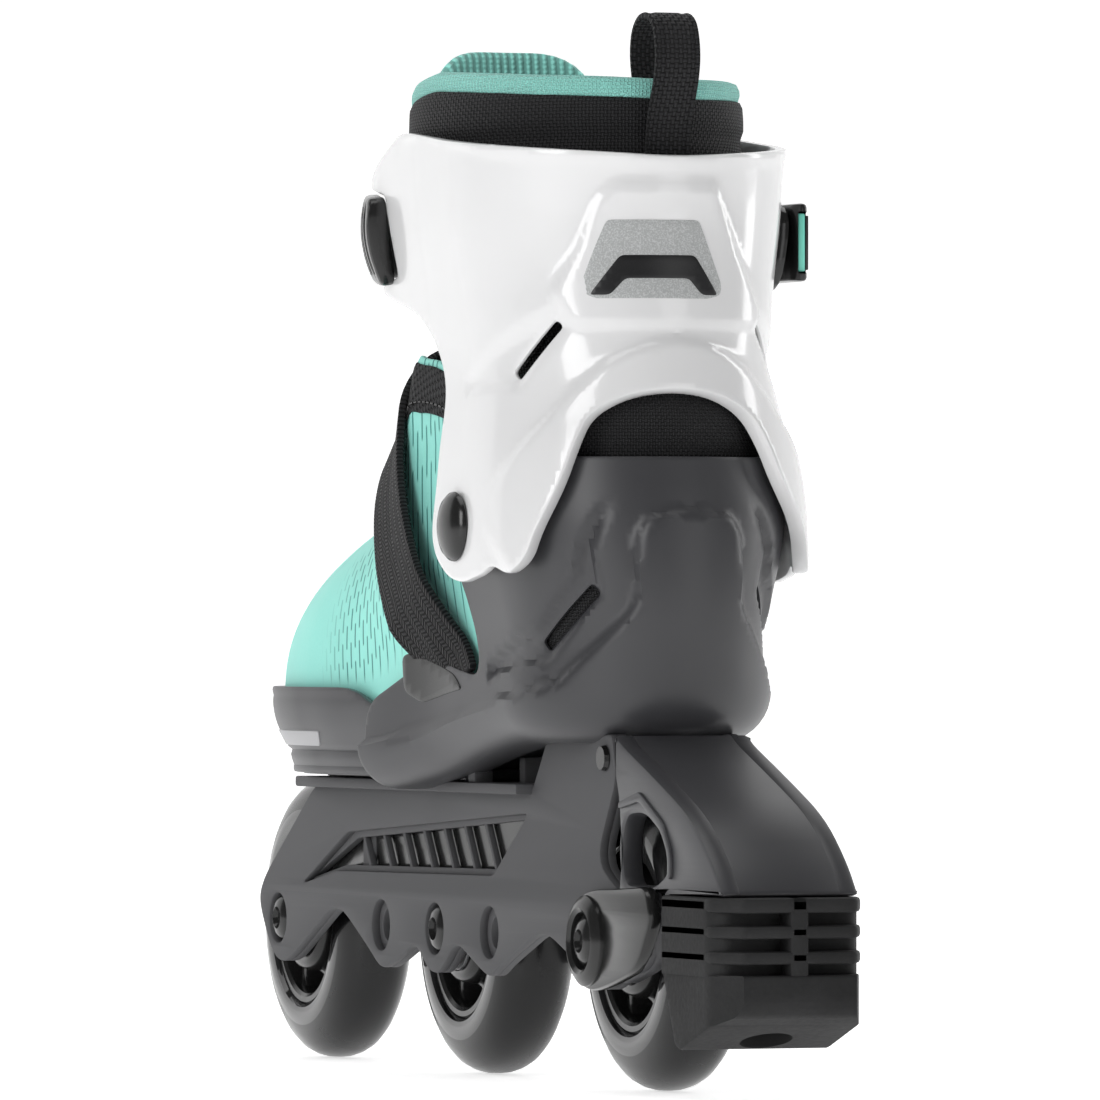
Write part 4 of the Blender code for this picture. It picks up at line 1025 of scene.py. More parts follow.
def make_shell():
    step = sizes().mesh_step
    corners = [(HEEL_ARC - HEEL_Y - 5, -22, 1)] + [(*shell_uv(y, z), 7) for y, z in SHELL_SIDES]
    edge = rounded(mirrored(corners + [(22, 59.5, 8)]), 2)
    slots = [[(side * u, v) for u, v in rounded(SHELL_SLOT, 1.0, 3)] for side in (-1, 1)]
    wall = formed([edge, *slots], sizes().shell_wall, (step, step), shell_place, 0.6, shell_relief())
    turns = [math.pi * (k / 12 - 0.5) for k in range(13)]
    sole = [(20 * math.sin(a), -112 - 10 * math.cos(a)) for a in turns] + [(26, -30), (28, -9), (-28, -9), (-26, -30)]

    def flat(x, y):
        return (x, y, sole_z(y) + 0.02)

    base = formed([sole], 2.2, (12, 6), flat, 0.3)
    tray = block((-20, -30, 77.1), (20, 75, 79.9), 0.4)
    return keep("boot_shell", together(wall, base, tray), "boot", ("shell_grey",), ("shell",))


def make_strap_slot():
    """The glossy moulded mouth on each side that the instep strap comes out of."""
    parts = []
    for side in (-1, 1):
        loop = rounded([(side * 92, 4), (side * 97, 8.5), (side * 122, 19.5), (side * 128, 19.5), (side * 127, 10),
                        (side * 118, 5.5)], 2.5)
        parts.append(formed([loop], 1.0, (2.5, 2.5), shell_place, 0.4, lift=1.0))
    return keep("strap_mouth", together(*parts), "boot", ("gloss_black",))


class SKATE_OT_shell(bpy.types.Operator):
    """Moulded shell with its raised heel, side scoops and slots, and the size button"""
    bl_idname = "skate.shell"
    bl_label = "Shell"

    def execute(self, context):
        make_shell()
        make_strap_slot()
        repaint("gloss_black", "size_button_collar")
        repaint("mint_plastic", "size_button")
        repaint("steel", "pivot_nut_left", "pivot_nut_right")
        return {"FINISHED"}


# Cuff ---------------------------------------------------------------------------------------------------

CUFF_ARC = 68.0
CUFF_HALF = [(125, 42.2), (142, 42.2), (160, 40.8), (180, 37.8), (200, 39.4), (220, 42.2), (235, 43.4),
             (245, 43.8)]
CUFF_REAR = [(125, -142.6), (145, -141.6), (160, -137.8), (170, -133.5), (177, -131), (190, -127.5),
             (208, -125), (222, -125), (236, -127)]
CUFF_Y = [(125, -95), (150, -94), (170, -89), (190, -84), (235, -80)]
CUFF_FRONT_CURL = [(-60, 0), (-45, 0.6), (-25, 2.5), (-5, 6.5)]
REAR_SHIFT = -2.5              # the moulded back features stand a little to the left of the middle


def cuff_place(u, z):
    run = abs(u)
    angle = min(run / CUFF_ARC, 1) * math.pi / 2
    middle = curve_at(CUFF_Y, z)
    y = middle + max(run - CUFF_ARC, 0)
    half = curve_at(CUFF_HALF, z) - curve_at(CUFF_FRONT_CURL, y)
    if run < CUFF_ARC:
        y = middle - (middle - curve_at(CUFF_REAR, z)) * math.cos(angle)
    return (math.copysign(half * math.sin(angle), u), y, z)


def cuff_uv(y, z):
    middle = curve_at(CUFF_Y, z)
    if y < middle:
        depth = middle - curve_at(CUFF_REAR, z)
        return CUFF_ARC * math.acos(min(1, (middle - y) / depth)) / (math.pi / 2), z
    return CUFF_ARC + y - middle, z


CUFF_FRONT = [(-49, 244, 8), (-40, 241.5, 8), (-15, 234, 4), (-12.5, 230.5, 1.5), (-31, 228, 2.5),
              (-35, 207.5, 2.5), (-14, 205.5, 1.5), (-14, 203.5, 1.0), (-25, 201.3, 4), (-40, 199, 6),
              (-51, 196, 6), (-60, 190, 7), (-66, 181, 8), (-68.5, 169, 8), (-69.5, 155, 9), (-67.5, 141, 7),
              (-71, 134.5, 4), (-80, 129.3, 5), (-91, 128, 4), (-102, 130, 3), (-107, 132.6, 2.5),
              (-114, 129.8, 3), (-120, 133.5, 4), (-122.4, 141, 6)]
ARCH = [(34, 152.5, 8), (29.5, 163, 8), (25.5, 170, 6), (15, 174.8, 6)]
RIDGE = [(-20, 189), (0, 189), (7, 188), (14, 186), (21.5, 182.5), (30, 176), (38, 168.5), (48, 159.5),
         (58, 151), (61, 143), (40, 120), (-20, 120)]
BACK_PANEL = [(-15, 229), (11, 229), (20, 211), (31.5, 196), (29, 192.5), (-28, 192.5), (-33, 201), (-24.5, 212),
              (-19.5, 225)]
SIDE_SLOT = [(33.5, 194.3), (31.8, 192.6), (47.8, 179.2), (49.6, 181.2)]
SIDE_DISH = [(32.5, 196.5), (30.5, 192), (47, 177.6), (72, 176.5), (73, 178.5), (52, 189)]


def cuff_relief():
    ridge = pad_of(RIDGE, 1.7, 3.0)
    dish = pad_of(SIDE_DISH, -1.1, 3.2)
    panel = pad_of(BACK_PANEL, 1.2, 2.2)

    def faded(u, v):
        return ridge(u, v) * smooth_step(64, 44, u)

    def rolled_top(u, v):
        top = curve_at([(0, 235.5), (40, 238), (80, 244), (100, 243), (130, 236)], abs(u))
        return 0.5 * smooth_step(3.2, 1.4, top - v) * smooth_step(108, 92, abs(u))
    return sum_of(both_ways(sum_of(faded, dish)), panel, rolled_top)


def make_cuff():
    step = sizes().mesh_step
    right = [(0, 235.5, 10), (40, 238, 20)]
    right += [(*cuff_uv(y, z), reach) for y, z, reach in CUFF_FRONT]
    right += [(u + REAR_SHIFT * 2, z, reach) for u, z, reach in ARCH]
    left = [(0, 235.5, 10), (40, 238, 20)] + [(*cuff_uv(y, z), reach) for y, z, reach in CUFF_FRONT] + ARCH
    outline = rounded(right + [(REAR_SHIFT, 176.2, 6)] + [(-u, z, r) for u, z, r in reversed(left[1:])], 4)
    slots = [[(side * u, v) for u, v in rounded(SIDE_SLOT, 1.2, 3)] for side in (-1, 1)]
    bm = formed([outline, *slots], sizes().cuff_wall, (step, step), cuff_place, 0.7, cuff_relief())
    return keep("boot_cuff", bm, "cuff", ("cuff_white",), ("cuff",))


def make_patch():
    """A grey foil patch with a plain black chevron on the back of the cuff."""
    patch = [(-17.5, 219.5), (6.5, 219.5), (14.0, 203), (13.6, 200.5), (9.5, 199.5), (-22.0, 199.5),
             (-25.6, 201.2), (-25.0, 204)]
    lean = [(-14.5, 210.5), (5.5, 210.5), (12.6, 200.4), (7.5, 200.4), (3.6, 204.6), (-13.6, 204.6),
            (-18.0, 200.4), (-23.5, 200.4)]
    relief = cuff_relief()
    for name, loop, lift, finish in (("cuff_patch", patch, 1.42, "patch_grey"),
                                     ("cuff_chevron", lean, 1.52, "patch_black")):
        bm = formed([rounded(loop, 1.2, 3)], 0.16, (1.6, 1.6), cuff_place, 0.05, lift=lift)
        for vert in bm.verts:
            vert.co.y -= 1.2
        keep(name, bm, "cuff", (finish,))


def make_pivots():
    for side, sign in (("left", -1), ("right", 1)):
        face = sign * (curve_at(CUFF_HALF, PIVOT.z) + sizes().cuff_wall / 2)
        dome = [(face - sign * 6, 0), (face - sign * 6, 4.0), (face, 4.0), (face, 8.5), (face + sign * 0.5, 8.9),
                (face + sign * 1.2, 8.7), (face + sign * 2.4, 7.4), (face + sign * 3.2, 5.4),
                (face + sign * 3.7, 3.0), (face + sign * 3.85, 0)]
        keep(f"pivot_dome_{side}", turned(dome, (0, PIVOT.y, PIVOT.z)), "cuff", ("gloss_black",),
             (f"pivot_bolt_{side}",))


class SKATE_OT_cuff(bpy.types.Operator):
    """Hinged cuff with its raised arch, back panel, side slots, patch and pivot domes"""
    bl_idname = "skate.cuff"
    bl_label = "Cuff"

    def execute(self, context):
        make_cuff()
        make_patch()
        make_pivots()
        return {"FINISHED"}


# Toe ----------------------------------------------------------------------------------------------------

TOE_Y, TOE_HALF, TOE_DEPTH, TOE_ARC, TOE_REAR = 40.0, 40.5, 65.0, 84.0, -28.0
TOE_SIDES = [(-28, 32.0), (-18, 33.6), (-8, 35.2), (6, 37.4), (22, 39.6), (40, TOE_HALF)]
TOE_INSET = [(78.6, 8.5), (80, 6.0), (84, 4.6), (85, 4.3), (90, 1.7), (93, 0.6), (97, 0), (101, 0.5)]


def toe_place(u, z):
    run = abs(u)
    angle = min(run / TOE_ARC, 1) * math.pi / 2
    inset = curve_at(TOE_INSET, z)
    y = TOE_Y - max(run - TOE_ARC, 0)
    half = (TOE_HALF if run < TOE_ARC else curve_at(TOE_SIDES, y)) - inset
    if run < TOE_ARC:
        y = TOE_Y + (TOE_DEPTH - inset) * math.cos(angle)
    return (math.copysign(half * math.sin(angle), -u), y, z)


def make_toe_cap():
    end = TOE_ARC + TOE_Y - TOE_REAR
    step = TOE_ARC + TOE_Y + 4.3
    corners = [(step, 78.4, 1), (step, 90.5, 1), (end, 90.5, 1), (end, 94.5, 2), (TOE_ARC + 48, 95.5, 10),
               (TOE_ARC + 34, 101, 8)]

    def groove(u, z):
        return -0.7 * smooth_step(1.0, 0.4, abs(z - 84.6)) + 0.5 * smooth_step(99.2, 99.8, z)

    wall = formed([rounded(mirrored(corners), 1)], 2.2, (2.4, 1.2), toe_place, 0.5, groove)
    shape = [toe_place(k * (step - 0.2) / 40, 81.3)[:2] for k in range(-40, 41)]
    floor = outline_mesh([shape], 1.0, 0.3)
    bmesh.ops.translate(floor, verts=floor.verts, vec=(0, 0, 81.3))
    sill = [toe_place(k * (step - 0.2) / 40, 84.5)[:2] for k in range(-40, 41)]
    lip = outline_mesh([sill], 1.1, 0.6)
    bmesh.ops.translate(lip, verts=lip.verts, vec=(0, 0, 79.4))
    return keep("toe_bumper", together(wall, floor, lip), "toe", ("shell_grey",), ("toe_cap",))


def make_toe_bar():
    """The pale trim bar let into the front of the toe cap, and round to both sides."""
    loop = [(TOE_ARC + 8, 85.6), (TOE_ARC + 12, 89.6), (-TOE_ARC - 12, 89.6), (-TOE_ARC - 8, 85.6)]

    def over(u, z):
        out = bent(toe_place, u, z, 1.2)
        return (out.x, out.y, z)

    bm = formed([rounded(loop, 1.0, 3)], 0.9, (3, 2), over, 0.3)
    return keep("toe_trim", bm, "toe", ("bar_grey",), ("toe_bar",))


class SKATE_OT_toe(bpy.types.Operator):
    """Sliding toe cap and its trim bar"""
    bl_idname = "skate.toe"
    bl_label = "Toe"

    def execute(self, context):
        make_toe_cap()
        make_toe_bar()
        return {"FINISHED"}


# Textile boot -------------------------------------------------------------------------------------------

UPPER_BASE, UPPER_SPAN, VAMP_REAR = 99.0, 60.0, 22.0
UPPER_HALF = [(-72, 27.6), (-55, 28.8), (-40, 30.2), (-20, 32.4), (0, 33.6), (20, 35.6), (40, 37.4)]
UPPER_TOP = [(-72, 240), (-30, 225), (-20, 200), (-12, 182), (0, 164), (20, 152), (40, 144.5), (60, 137),
             (80, 127), (95, 115), (101, 106), (102, 101)]
UPPER_BULGE = [(99, 0), (112, 0.4), (130, 3.8), (200, 3.8)]


def upper_place(u, y):
    """The dome over the foot: u runs across from base to base, y along the foot."""
    half = curve_at(UPPER_HALF, y)
    if y > TOE_Y:
        half = UPPER_HALF[-1][1] * math.sqrt(max(1 - ((y - TOE_Y) / (TOE_DEPTH - 2.5)) ** 2, 0.0004))
    angle = (1 - min(abs(u) / UPPER_SPAN, 1)) * math.pi / 2
    power = curve_at([(-30, 0.62), (-12, 0.72), (6, 0.87)], y)
    z = UPPER_BASE + (curve_at(UPPER_TOP, y) - UPPER_BASE) * math.sin(angle) ** power
    half += curve_at(UPPER_BULGE, z) * curve_at([(-30, 1), (0, 0.3), (15, 0)], y)
    below = max(abs(u) - UPPER_SPAN, 0)
    return (math.copysign(half * math.cos(angle) ** power - 0.25 * below, u), y, z - below)


LEG_Y, LEG_TURN = -55.0, 60.0
LEG_HALF = [(152, 26.0), (186, 26.5), (198, 31.0), (220, 36.0), (240, 37.0), (256, 36.0)]
LEG_REAR = [(152, -127), (165, -126), (178, -123.5), (195, -119.5), (256, -118.5)]
LEG_FRONT = [(152, -12), (165, -16), (184, -20), (200, -15), (220, -8), (240, -2), (266, 4)]


def leg_place(u, z):
    """Round the leg: u is 0 at the rear and 120 at the shin."""
    angle = u / LEG_TURN * math.pi / 2
    reach = LEG_Y - curve_at(LEG_REAR, z) if math.cos(angle) > 0 else curve_at(LEG_FRONT, z) - LEG_Y
    return (curve_at(LEG_HALF, z) * math.sin(angle), LEG_Y - reach * math.cos(angle), z)


TONGUE_LINE = [(0, 14, 147.5), (14, 2, 156), (28, -10, 166.5), (44, -18, 180), (60, -17, 196), (80, -10, 215),
               (106, -4, 240), (133, 1, 267)]


def tongue_place(u, v):
    """u across, v up the tongue; its sides fall back round the foot and the leg."""
    y = curve_at([(v0, y0) for v0, y0, _ in TONGUE_LINE], v)
    z = curve_at([(v0, z0) for v0, _, z0 in TONGUE_LINE], v)
    back = u * u / 70
    tilt = curve_at([(0, 0.0), (44, 0.6), (80, 1.0)], v)
    return (-u, y - back * tilt - 6.5 * tilt, z - back * (1 - tilt) - 4.5 * (1 - tilt))


INSTEP = [(0, 0, -7, 179), (12, 12, -7.2, 178.7), (22.5, 22.2, -8.6, 176.5), (35, 30.2, -12.6, 169),
          (49.2, 35.0, -18, 157.5), (61.6, 37.7, -24, 147), (75.9, 39.3, -31.5, 135), (92, 39.1, -41, 122),
          (104, 35.2, -48, 112), (113, 31.9, -53, 105), (124, 31.4, -59.5, 96)]
STRAP_AHEAD = [(0, 0.55), (22.5, 0.62), (35, 0.75), (49, 0.85), (76, 0.85), (92, 0.82), (114.6, 0.8)]
STRAP_TUCK = [(90, 0), (104, 0.3), (116, 0.1)]
STRAP_FLARE = [(0, 0), (22, 0.12), (35, 0.24), (49, 0.2), (76, 0.1), (114.6, 0.05)]


def instep_place(u, v):
    """Over the instep and down both sides: v grows towards the band's front and lower edge."""
    run = abs(u)
    x, y, z = (curve_at([(p[0], p[k]) for p in INSTEP], run) for k in (1, 2, 3))
    ahead = curve_at(STRAP_AHEAD, run)
    x += max(-v, 0) * curve_at(STRAP_FLARE, run) - max(v, 0) * curve_at(STRAP_TUCK, run)
    return (math.copysign(x, -u), y + v * ahead, z - v * math.sqrt(1 - ahead * ahead))


STITCH_PITCH, THREAD_R = 2.6, 0.34


def stitch_rows(rows):
    """Rows of short raised stitches, as (place, points, lift) with points in the place's own (u, v)."""
    parts = []
    for place, line, lift in rows:
        spots = [Vector(line[0])]
        for a, b in zip(line, line[1:]):
            a, b = Vector(a), Vector(b)
            count = max(1, round((b - a).length / STITCH_PITCH))
            spots += [a.lerp(b, (k + 1) / count) for k in range(count)]
        for a, b in zip(spots, spots[1:]):
            start, end = (bent(place, *a.lerp(b, share), lift) for share in (0.12, 0.80))
            parts.append(rod(start, end, THREAD_R, 6))
    return together(*parts)


EYELET_PANEL = [(14.0, 14.0), (19.0, 1.0), (26.0, -13.0), (37.0, -29.0), (42.0, -58.0), (48.0, -58.0),
                (45.0, -26.0), (34.0, -8.0), (27.0, 6.0), (24.0, 24.0), (14.0, 27.0)]


def make_upper():
    """The knitted upper in one skin, from under the toe cap's edge to the ankle."""
    def soft(u, y):
        panel = 0.5 * smooth_step(-1.2, 1.2, to_edge(EYELET_PANEL, abs(u), y))
        sag = 0.35 * math.sin(y / 9.0 + abs(u) / 14.0) * smooth_step(-5, -35, y)
        return panel + sag

    side = [(20, 0, 3), (27, -14, 6), (38, -30, 6), (43, -60, 6), (UPPER_SPAN - 12, -68, 3),
            (UPPER_SPAN, -66, 2), (UPPER_SPAN, -30, 4), (UPPER_SPAN + 6, -18, 3), (UPPER_SPAN + 8, 20, 2),
            (UPPER_SPAN + 4, 99, 1)]
    throat = (14, 13, 3)
    loop = rounded([throat, *side] + [(-u, y, r) for u, y, r in reversed([throat, *side])], 2, 3)
    bm = formed([loop], 1.6, (2.0, 2.0), upper_place, 0.4, soft)
    piece = keep("upper", bm, None, ("mint_skin",), ("vamp", "quarter"))
    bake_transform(piece)
    return piece


def make_eyelet_facing():
    """Black facings beside the throat, each with a row of stitching."""
    parts, stitches = [], []
    for side in (-1, 1):
        loop = [(side * u, y) for u, y in rounded([(15, 15, 2), (20.5, 1.5, 4), (27.5, -12.5, 6), (38.5, -29, 6),
                                                   (43.5, -58, 2), (47, -58, 2), (43.5, -27, 8), (33.5, -9, 8),
                                                   (27, 4, 5), (25, 17, 3)], 2, 3)]
        parts.append(formed([loop], 1.0, (2, 2), upper_place, 0.3, lift=1.3))
        stitches.append((upper_place, [(side * 24.0, 15), (side * 26.4, 3), (side * 32.6, -9.5), (side * 42.4, -27),
                                       (side * 45.8, -55)], 2.0))
    facing = keep("lace_facing", together(*parts), "boot", ("ballistic",))
    keep("facing_stitch", stitch_rows(stitches), "boot", ("gloss_black",))
    return facing


def make_collar():
    """The padded collar, and the mint band along its rim."""
    top = [(-92, 247), (-78, 252), (-60, 254.5), (-30, 252), (0, 250.5), (30, 251), (60, 252), (78, 250),
           (92, 246)]
    foot = [(-92, 187), (-50, 187), (-34, 154), (34, 154), (50, 187), (92, 187)]

    def quilt(u, z):
        seam = abs(z - curve_at([(-92, 238), (0, 241.5), (92, 237)], u))
        tube = 1.1 * smooth_step(0.2, 4.0, seam)
        return tube - 1.1 + 0.8 * math.sin((z - 150) / 36) * 0.3

    sleeve = formed([rounded(foot + list(reversed(top)), 3, 3)], 5.0, (2.6, 2.2), leg_place, 2.0, quilt)
    collar = keep("liner_cuff", sleeve, None, ("ballistic",), ("liner_collar",))
    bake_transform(collar)
    rim = [(u, z - 1.2) for u, z in top]
    lip = rim + [(u, z + 6.0) for u, z in reversed(rim)]
    band = formed([rounded(lip, 2, 3)], 5.0, (2.6, 1.0), leg_place, 2.4, lift=-0.4)
    trim = keep("liner_trim", band, "cuff", ("mint_mesh",), ("liner_rim",))


def make_heel_pad():
    """The creased padding that shows under the cuff's rear arch."""
    heel = [(HEEL_ARC + 20, 2), (HEEL_ARC + 20, 14), (HEEL_ARC + 6, 46), (HEEL_ARC, 70), (40, 86), (0, 90)]

    def inside(u, v):
        return bent(shell_place, u, v, -3.6 - curve_at([(50, 0), (70, 1.2), (90, 8.0)], v))

    wrap = heel + [(-u, v) for u, v in reversed(heel[:-1])]

    def creases(u, v):
        fold = math.sin(v / 2.6 + 0.4 * math.sin(u / 9))
        return 0.5 * fold * smooth_step(52, 62, v) * smooth_step(40, 16, abs(u))

    cushion = formed([rounded(wrap, 5, 3)], 3.0, (2, 1.4), inside, 1.2, creases)
    pad = keep("heel_pad", cushion, None, ("ballistic",), ("liner_heel",))
    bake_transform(pad)


def make_collar_tab():
    """The small stitched tab at the collar's front."""
    tab = [(-114, 222), (-92, 222), (-88, 238), (-91, 247.5), (-108, 248), (-114, 242)]
    patch = formed([rounded(tab, 3, 3)], 1.2, (2, 2), leg_place, 0.5, lift=3.0)
    keep("collar_tab", patch, "cuff", ("coarse_web",))
    lines = [(leg_place, [(-111.6, 226), (-111.6, 241), (-107.0, 245.6), (-93.0, 245.2), (-90.8, 238.4),
                          (-94.2, 226)], 3.8)]
    keep("tab_stitch", stitch_rows(lines), "cuff", ("dark_steel",))


def make_tongue():
    edge = [(-13, 2, 2), (13, 2, 2), (16, 40, 8), (20, 70, 8), (22, 126, 7), (14, 133, 7), (-14, 133, 7),
            (-22, 126, 7), (-20, 70, 8), (-16, 40, 8)]

    def puff(u, v):
        return 0.9 * smooth_step(0, 7, to_edge([e[:2] for e in edge], u, v)) - 0.4

    bm = formed([rounded(edge, 3, 4)], 4.2, (1.6, 2.4), tongue_place, 1.8, puff)
    piece = keep("tongue_pad", bm, None, ("mint_rib",), ("tongue",))
    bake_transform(piece)
    return piece


def make_instep():
    half = 14.0
    loop = [(-121, -half), (121, -half), (114, half), (-114, half)]

    def ribs(u, v):
        return 0.30 * smooth_step(1.5, 0.7, abs(abs(v) - 11.6)) - 0.15 * smooth_step(2.2, 1.2, abs(v))

    bm = formed([rounded(loop, 1.0, 2)], 2.0, (2.4, 1.3), instep_place, 0.5, ribs)
    piece = keep("instep_web", bm, "boot", ("strap_web",), ("instep_strap",))
    edges = []
    for side in (-1, 1):
        for v in (-12.6, 12.6):
            edges.append((instep_place, [(side * 40, v), (side * 60, v), (side * 84, v)], 1.2))
    keep("instep_stitch", stitch_rows(edges), "boot", ("dark_steel",))
    return piece


def make_laces():
    """One round lace that crosses the tongue in three rows, through its eyelets."""
    rows = [(18.0, 1), (12.5, -1), (7.0, 1)]
    stops = [bent(upper_place, turn * u, y, 3.5) for y, turn in rows for u in (-26, -10, 10, 26)]
    curve = bpy.data.curves.new("lace_run", "CURVE")
    curve.dimensions = "3D"
    curve.bevel_depth = 1.45
    curve.bevel_resolution = 4
    curve.resolution_u = 10
    curve.use_fill_caps = True
    spline = curve.splines.new("BEZIER")
    spline.bezier_points.add(len(stops) - 1)
    for k, point in enumerate(spline.bezier_points):
        before, after = stops[max(k - 1, 0)], stops[min(k + 1, len(stops) - 1)]
        reach = (after - before) * 0.17
        point.co = stops[k]
        point.handle_left, point.handle_right = stops[k] - reach, stops[k] + reach
    obj = bpy.data.objects.new("lace_run", curve)
    bpy.context.scene.collection.objects.link(obj)
    bm = mesh_of(obj)
    bpy.data.objects.remove(obj, do_unlink=True)
    return keep("lace", bm, "boot", ("white_braid",), ("laces",))


class SKATE_OT_upper(bpy.types.Operator):
    """Perforated upper with its lace facings, lace, and footbed"""
    bl_idname = "skate.upper"
    bl_label = "Upper"

    def execute(self, context):
        make_upper()
        make_eyelet_facing()
        make_laces()
        repaint("ballistic", "footbed")
        return {"FINISHED"}


class SKATE_OT_liner(bpy.types.Operator):
    """Padded collar with its rim and tab, heel pad and ribbed tongue"""
    bl_idname = "skate.liner"
    bl_label = "Liner"

    def execute(self, context):
        make_collar()
        make_heel_pad()
        make_collar_tab()
        make_tongue()
        return {"FINISHED"}


class SKATE_OT_instep(bpy.types.Operator):
    """Webbing strap over the instep"""
    bl_idname = "skate.instep"
    bl_label = "Instep strap"

    def execute(self, context):
        make_instep()
        return {"FINISHED"}


# Fastenings ---------------------------------------------------------------------------------------------

LADDER_Y, LADDER_HALF, LADDER_FRONT, LADDER_ARC = -38.0, 44.6, 14.0, 78.0
LEVER_Z = (205.5, 225.5)
PIN_HOLE = ring(HINGE.x, HINGE.y, 1.5, 24)


def ladder_place(u, z):
    """Round the front of the leg: u is 0 at the shin and grows to the left side."""
    run = abs(u)
    angle = min(run / LADDER_ARC, 1) * math.pi / 2
    y = LADDER_Y - max(run - LADDER_ARC, 0)
    half = LADDER_HALF + (curve_at(CUFF_HALF, z) - 42.0)
    if run < LADDER_ARC:
        y = LADDER_Y + (LADDER_FRONT - LADDER_Y) * math.cos(angle)
    return (math.copysign(half * math.sin(angle), -u), y, z)


def make_ladder():
    loop = rounded([(-54, 208), (54, 208), (54, 226), (-54, 226)], 1.0, 2)

    def teeth(u, z):
        inner = smooth_step(7.6, 6.8, abs(z - 217))
        saw = (u / 2.6) % 1.0
        return 0.8 * inner * saw - 0.3 * inner

    bm = formed([loop], 2.0, (0.65, 2.2), ladder_place, 0.4, teeth)
    keep("ladder_band", bm, "cuff", ("strap_plastic",), ("ladder_strap",))


def make_anchor():
    """The ribbed plastic block that the ladder strap comes out of."""
    front, rear = LADDER_ARC - 23.5, LADDER_ARC - 7
    loop = rounded([(front, 206.5, 2), (rear, 204.5, 4), (rear + 1.0, 227.6, 4), (front, 229.2, 3)], 2, 4)

    def ribs(u, z):
        across = smooth_step(8.6, 7.2, abs(z - 217.5))
        crown = -0.06 * (z - 217.5) ** 2 / 4
        groove = 0.0
        for centre in (front + 3.0, front + 6.4, front + 9.8, front + 13.2):
            groove += smooth_step(0.95, 0.45, abs(u - centre))
        return crown - 1.3 * across * groove

    bm = formed([loop], 6.0, (0.55, 1.6), ladder_place, 1.0, ribs)
    keep("anchor_block", bm, "cuff", ("gloss_black",), ("strap_anchor",))


def make_buckle_base():
    front, mid, rear = 23.5 - LADDER_ARC, -LADDER_ARC - 6, -LADDER_ARC - 52
    loop = rounded([(front, 208, 3), (front, 226, 3), (mid, 227, 6), (rear, 225, 8), (rear, 203, 8),
                    (mid, 203, 6)], 3, 4)

    def lip(u, z):
        inside = to_edge([(p[0], p[1]) for p in loop], u, z)
        return 0.7 * smooth_step(3.2, 1.6, inside)

    parts = [formed([loop], 2.0, (2.4, 2.2), ladder_place, 0.6, lip)]
    low, high = LEVER_Z
    for x0, z0, z1 in ((42.4, low - 3.0, low - 0.5), (44.9, high + 0.5, high + 3.0)):
        ear = rounded([(x0, HINGE.y - 5), (HINGE.x + 2.6, HINGE.y - 4), (HINGE.x + 2.6, HINGE.y + 4),
                       (x0, HINGE.y + 5)], 1.8, 4)
        parts.append(upright([ear, PIN_HOLE], z0, z1, 0.4))
    keep("buckle_plate", together(*parts), "cuff", ("gloss_black",), ("buckle_base",))


def make_lever():
    """The curved closing lever, with a recessed middle and grip ridges at its free end."""
    low, high = LEVER_Z
    x0, x1 = HINGE.x - 2, HINGE.x + 3
    shape = [(x0 + 0.6, HINGE.y + 1.6, 1.6), (x0, -60, 4), (x0, -88, 2), (x0 + 1.6, -90.2, 1),
             (x0 + 3.6, -89.5, 1.5), (x1 - 0.6, -84, 6), (x1 + 0.3, -66, 8), (x1, -52, 6),
             (x1 - 0.4, HINGE.y + 1.6, 2.4)]
    bm = upright([rounded(shape, 2, 5), PIN_HOLE], low, high, 1.0)
    body = keep("lever_body", bm, "lever", ("gloss_black",), ("buckle_lever",))
    cut = block((HINGE.x - 1, -100, low + 2), (HINGE.x + 1.9, -60, high - 2), 0.5)
    dish = block((HINGE.x + 2.2, -58, low + 3.2), (HINGE.x + 9, -49, high - 3.2), 0.6)
    carve(body, together(cut, dish))
    ridges = [block((x1 - 0.9, -86.5 + k * 2.6, low + 3), (x1 + 0.35 - 0.25 * (k < 2), -85.3 + k * 2.6, high - 3),
                    0.3) for k in range(6)]
    keep("lever_grip", together(*ridges), "lever", ("gloss_black",))


def carve(piece, bm):
    """Cuts a solid in millimetres out of a finished piece."""
    cutter = bpy.data.objects.new("cutter", bpy.data.meshes.new("cutter"))
    bmesh.ops.recalc_face_normals(bm, faces=bm.faces)
    bmesh.ops.scale(bm, verts=bm.verts, vec=(MM,) * 3)
    bm.to_mesh(cutter.data)
    bm.free()
    bpy.context.scene.collection.objects.link(cutter)
    boolean = piece.modifiers.new("carve", "BOOLEAN")
    boolean.operation = "DIFFERENCE"
    boolean.solver = "EXACT"
    boolean.object = cutter
    bpy.context.view_layer.update()
    graph = bpy.context.evaluated_depsgraph_get()
    mesh = bpy.data.meshes.new_from_object(piece.evaluated_get(graph), depsgraph=graph)
    piece.modifiers.clear()
    old, piece.data = piece.data, mesh
    bpy.data.meshes.remove(old)
    mesh.shade_smooth()
    mesh.set_sharp_from_angle(angle=CREASE)
    bpy.data.objects.remove(cutter, do_unlink=True)
    return piece


def make_release():
    low, high = LEVER_Z
    parts = [block((HINGE.x - 0.6, -88.5, low + 2.5), (HINGE.x + 1.4, -60.5, high - 2.5), 0.5)]
    parts += [block((HINGE.x - 0.4, -87.4 + k * 2.2, low + 4), (HINGE.x + 1.55, -86.4 + k * 2.2, high - 4), 0.3)
              for k in range(3)]
    keep("lever_release", together(*parts), "lever", ("mint_plastic",), ("buckle_release",))


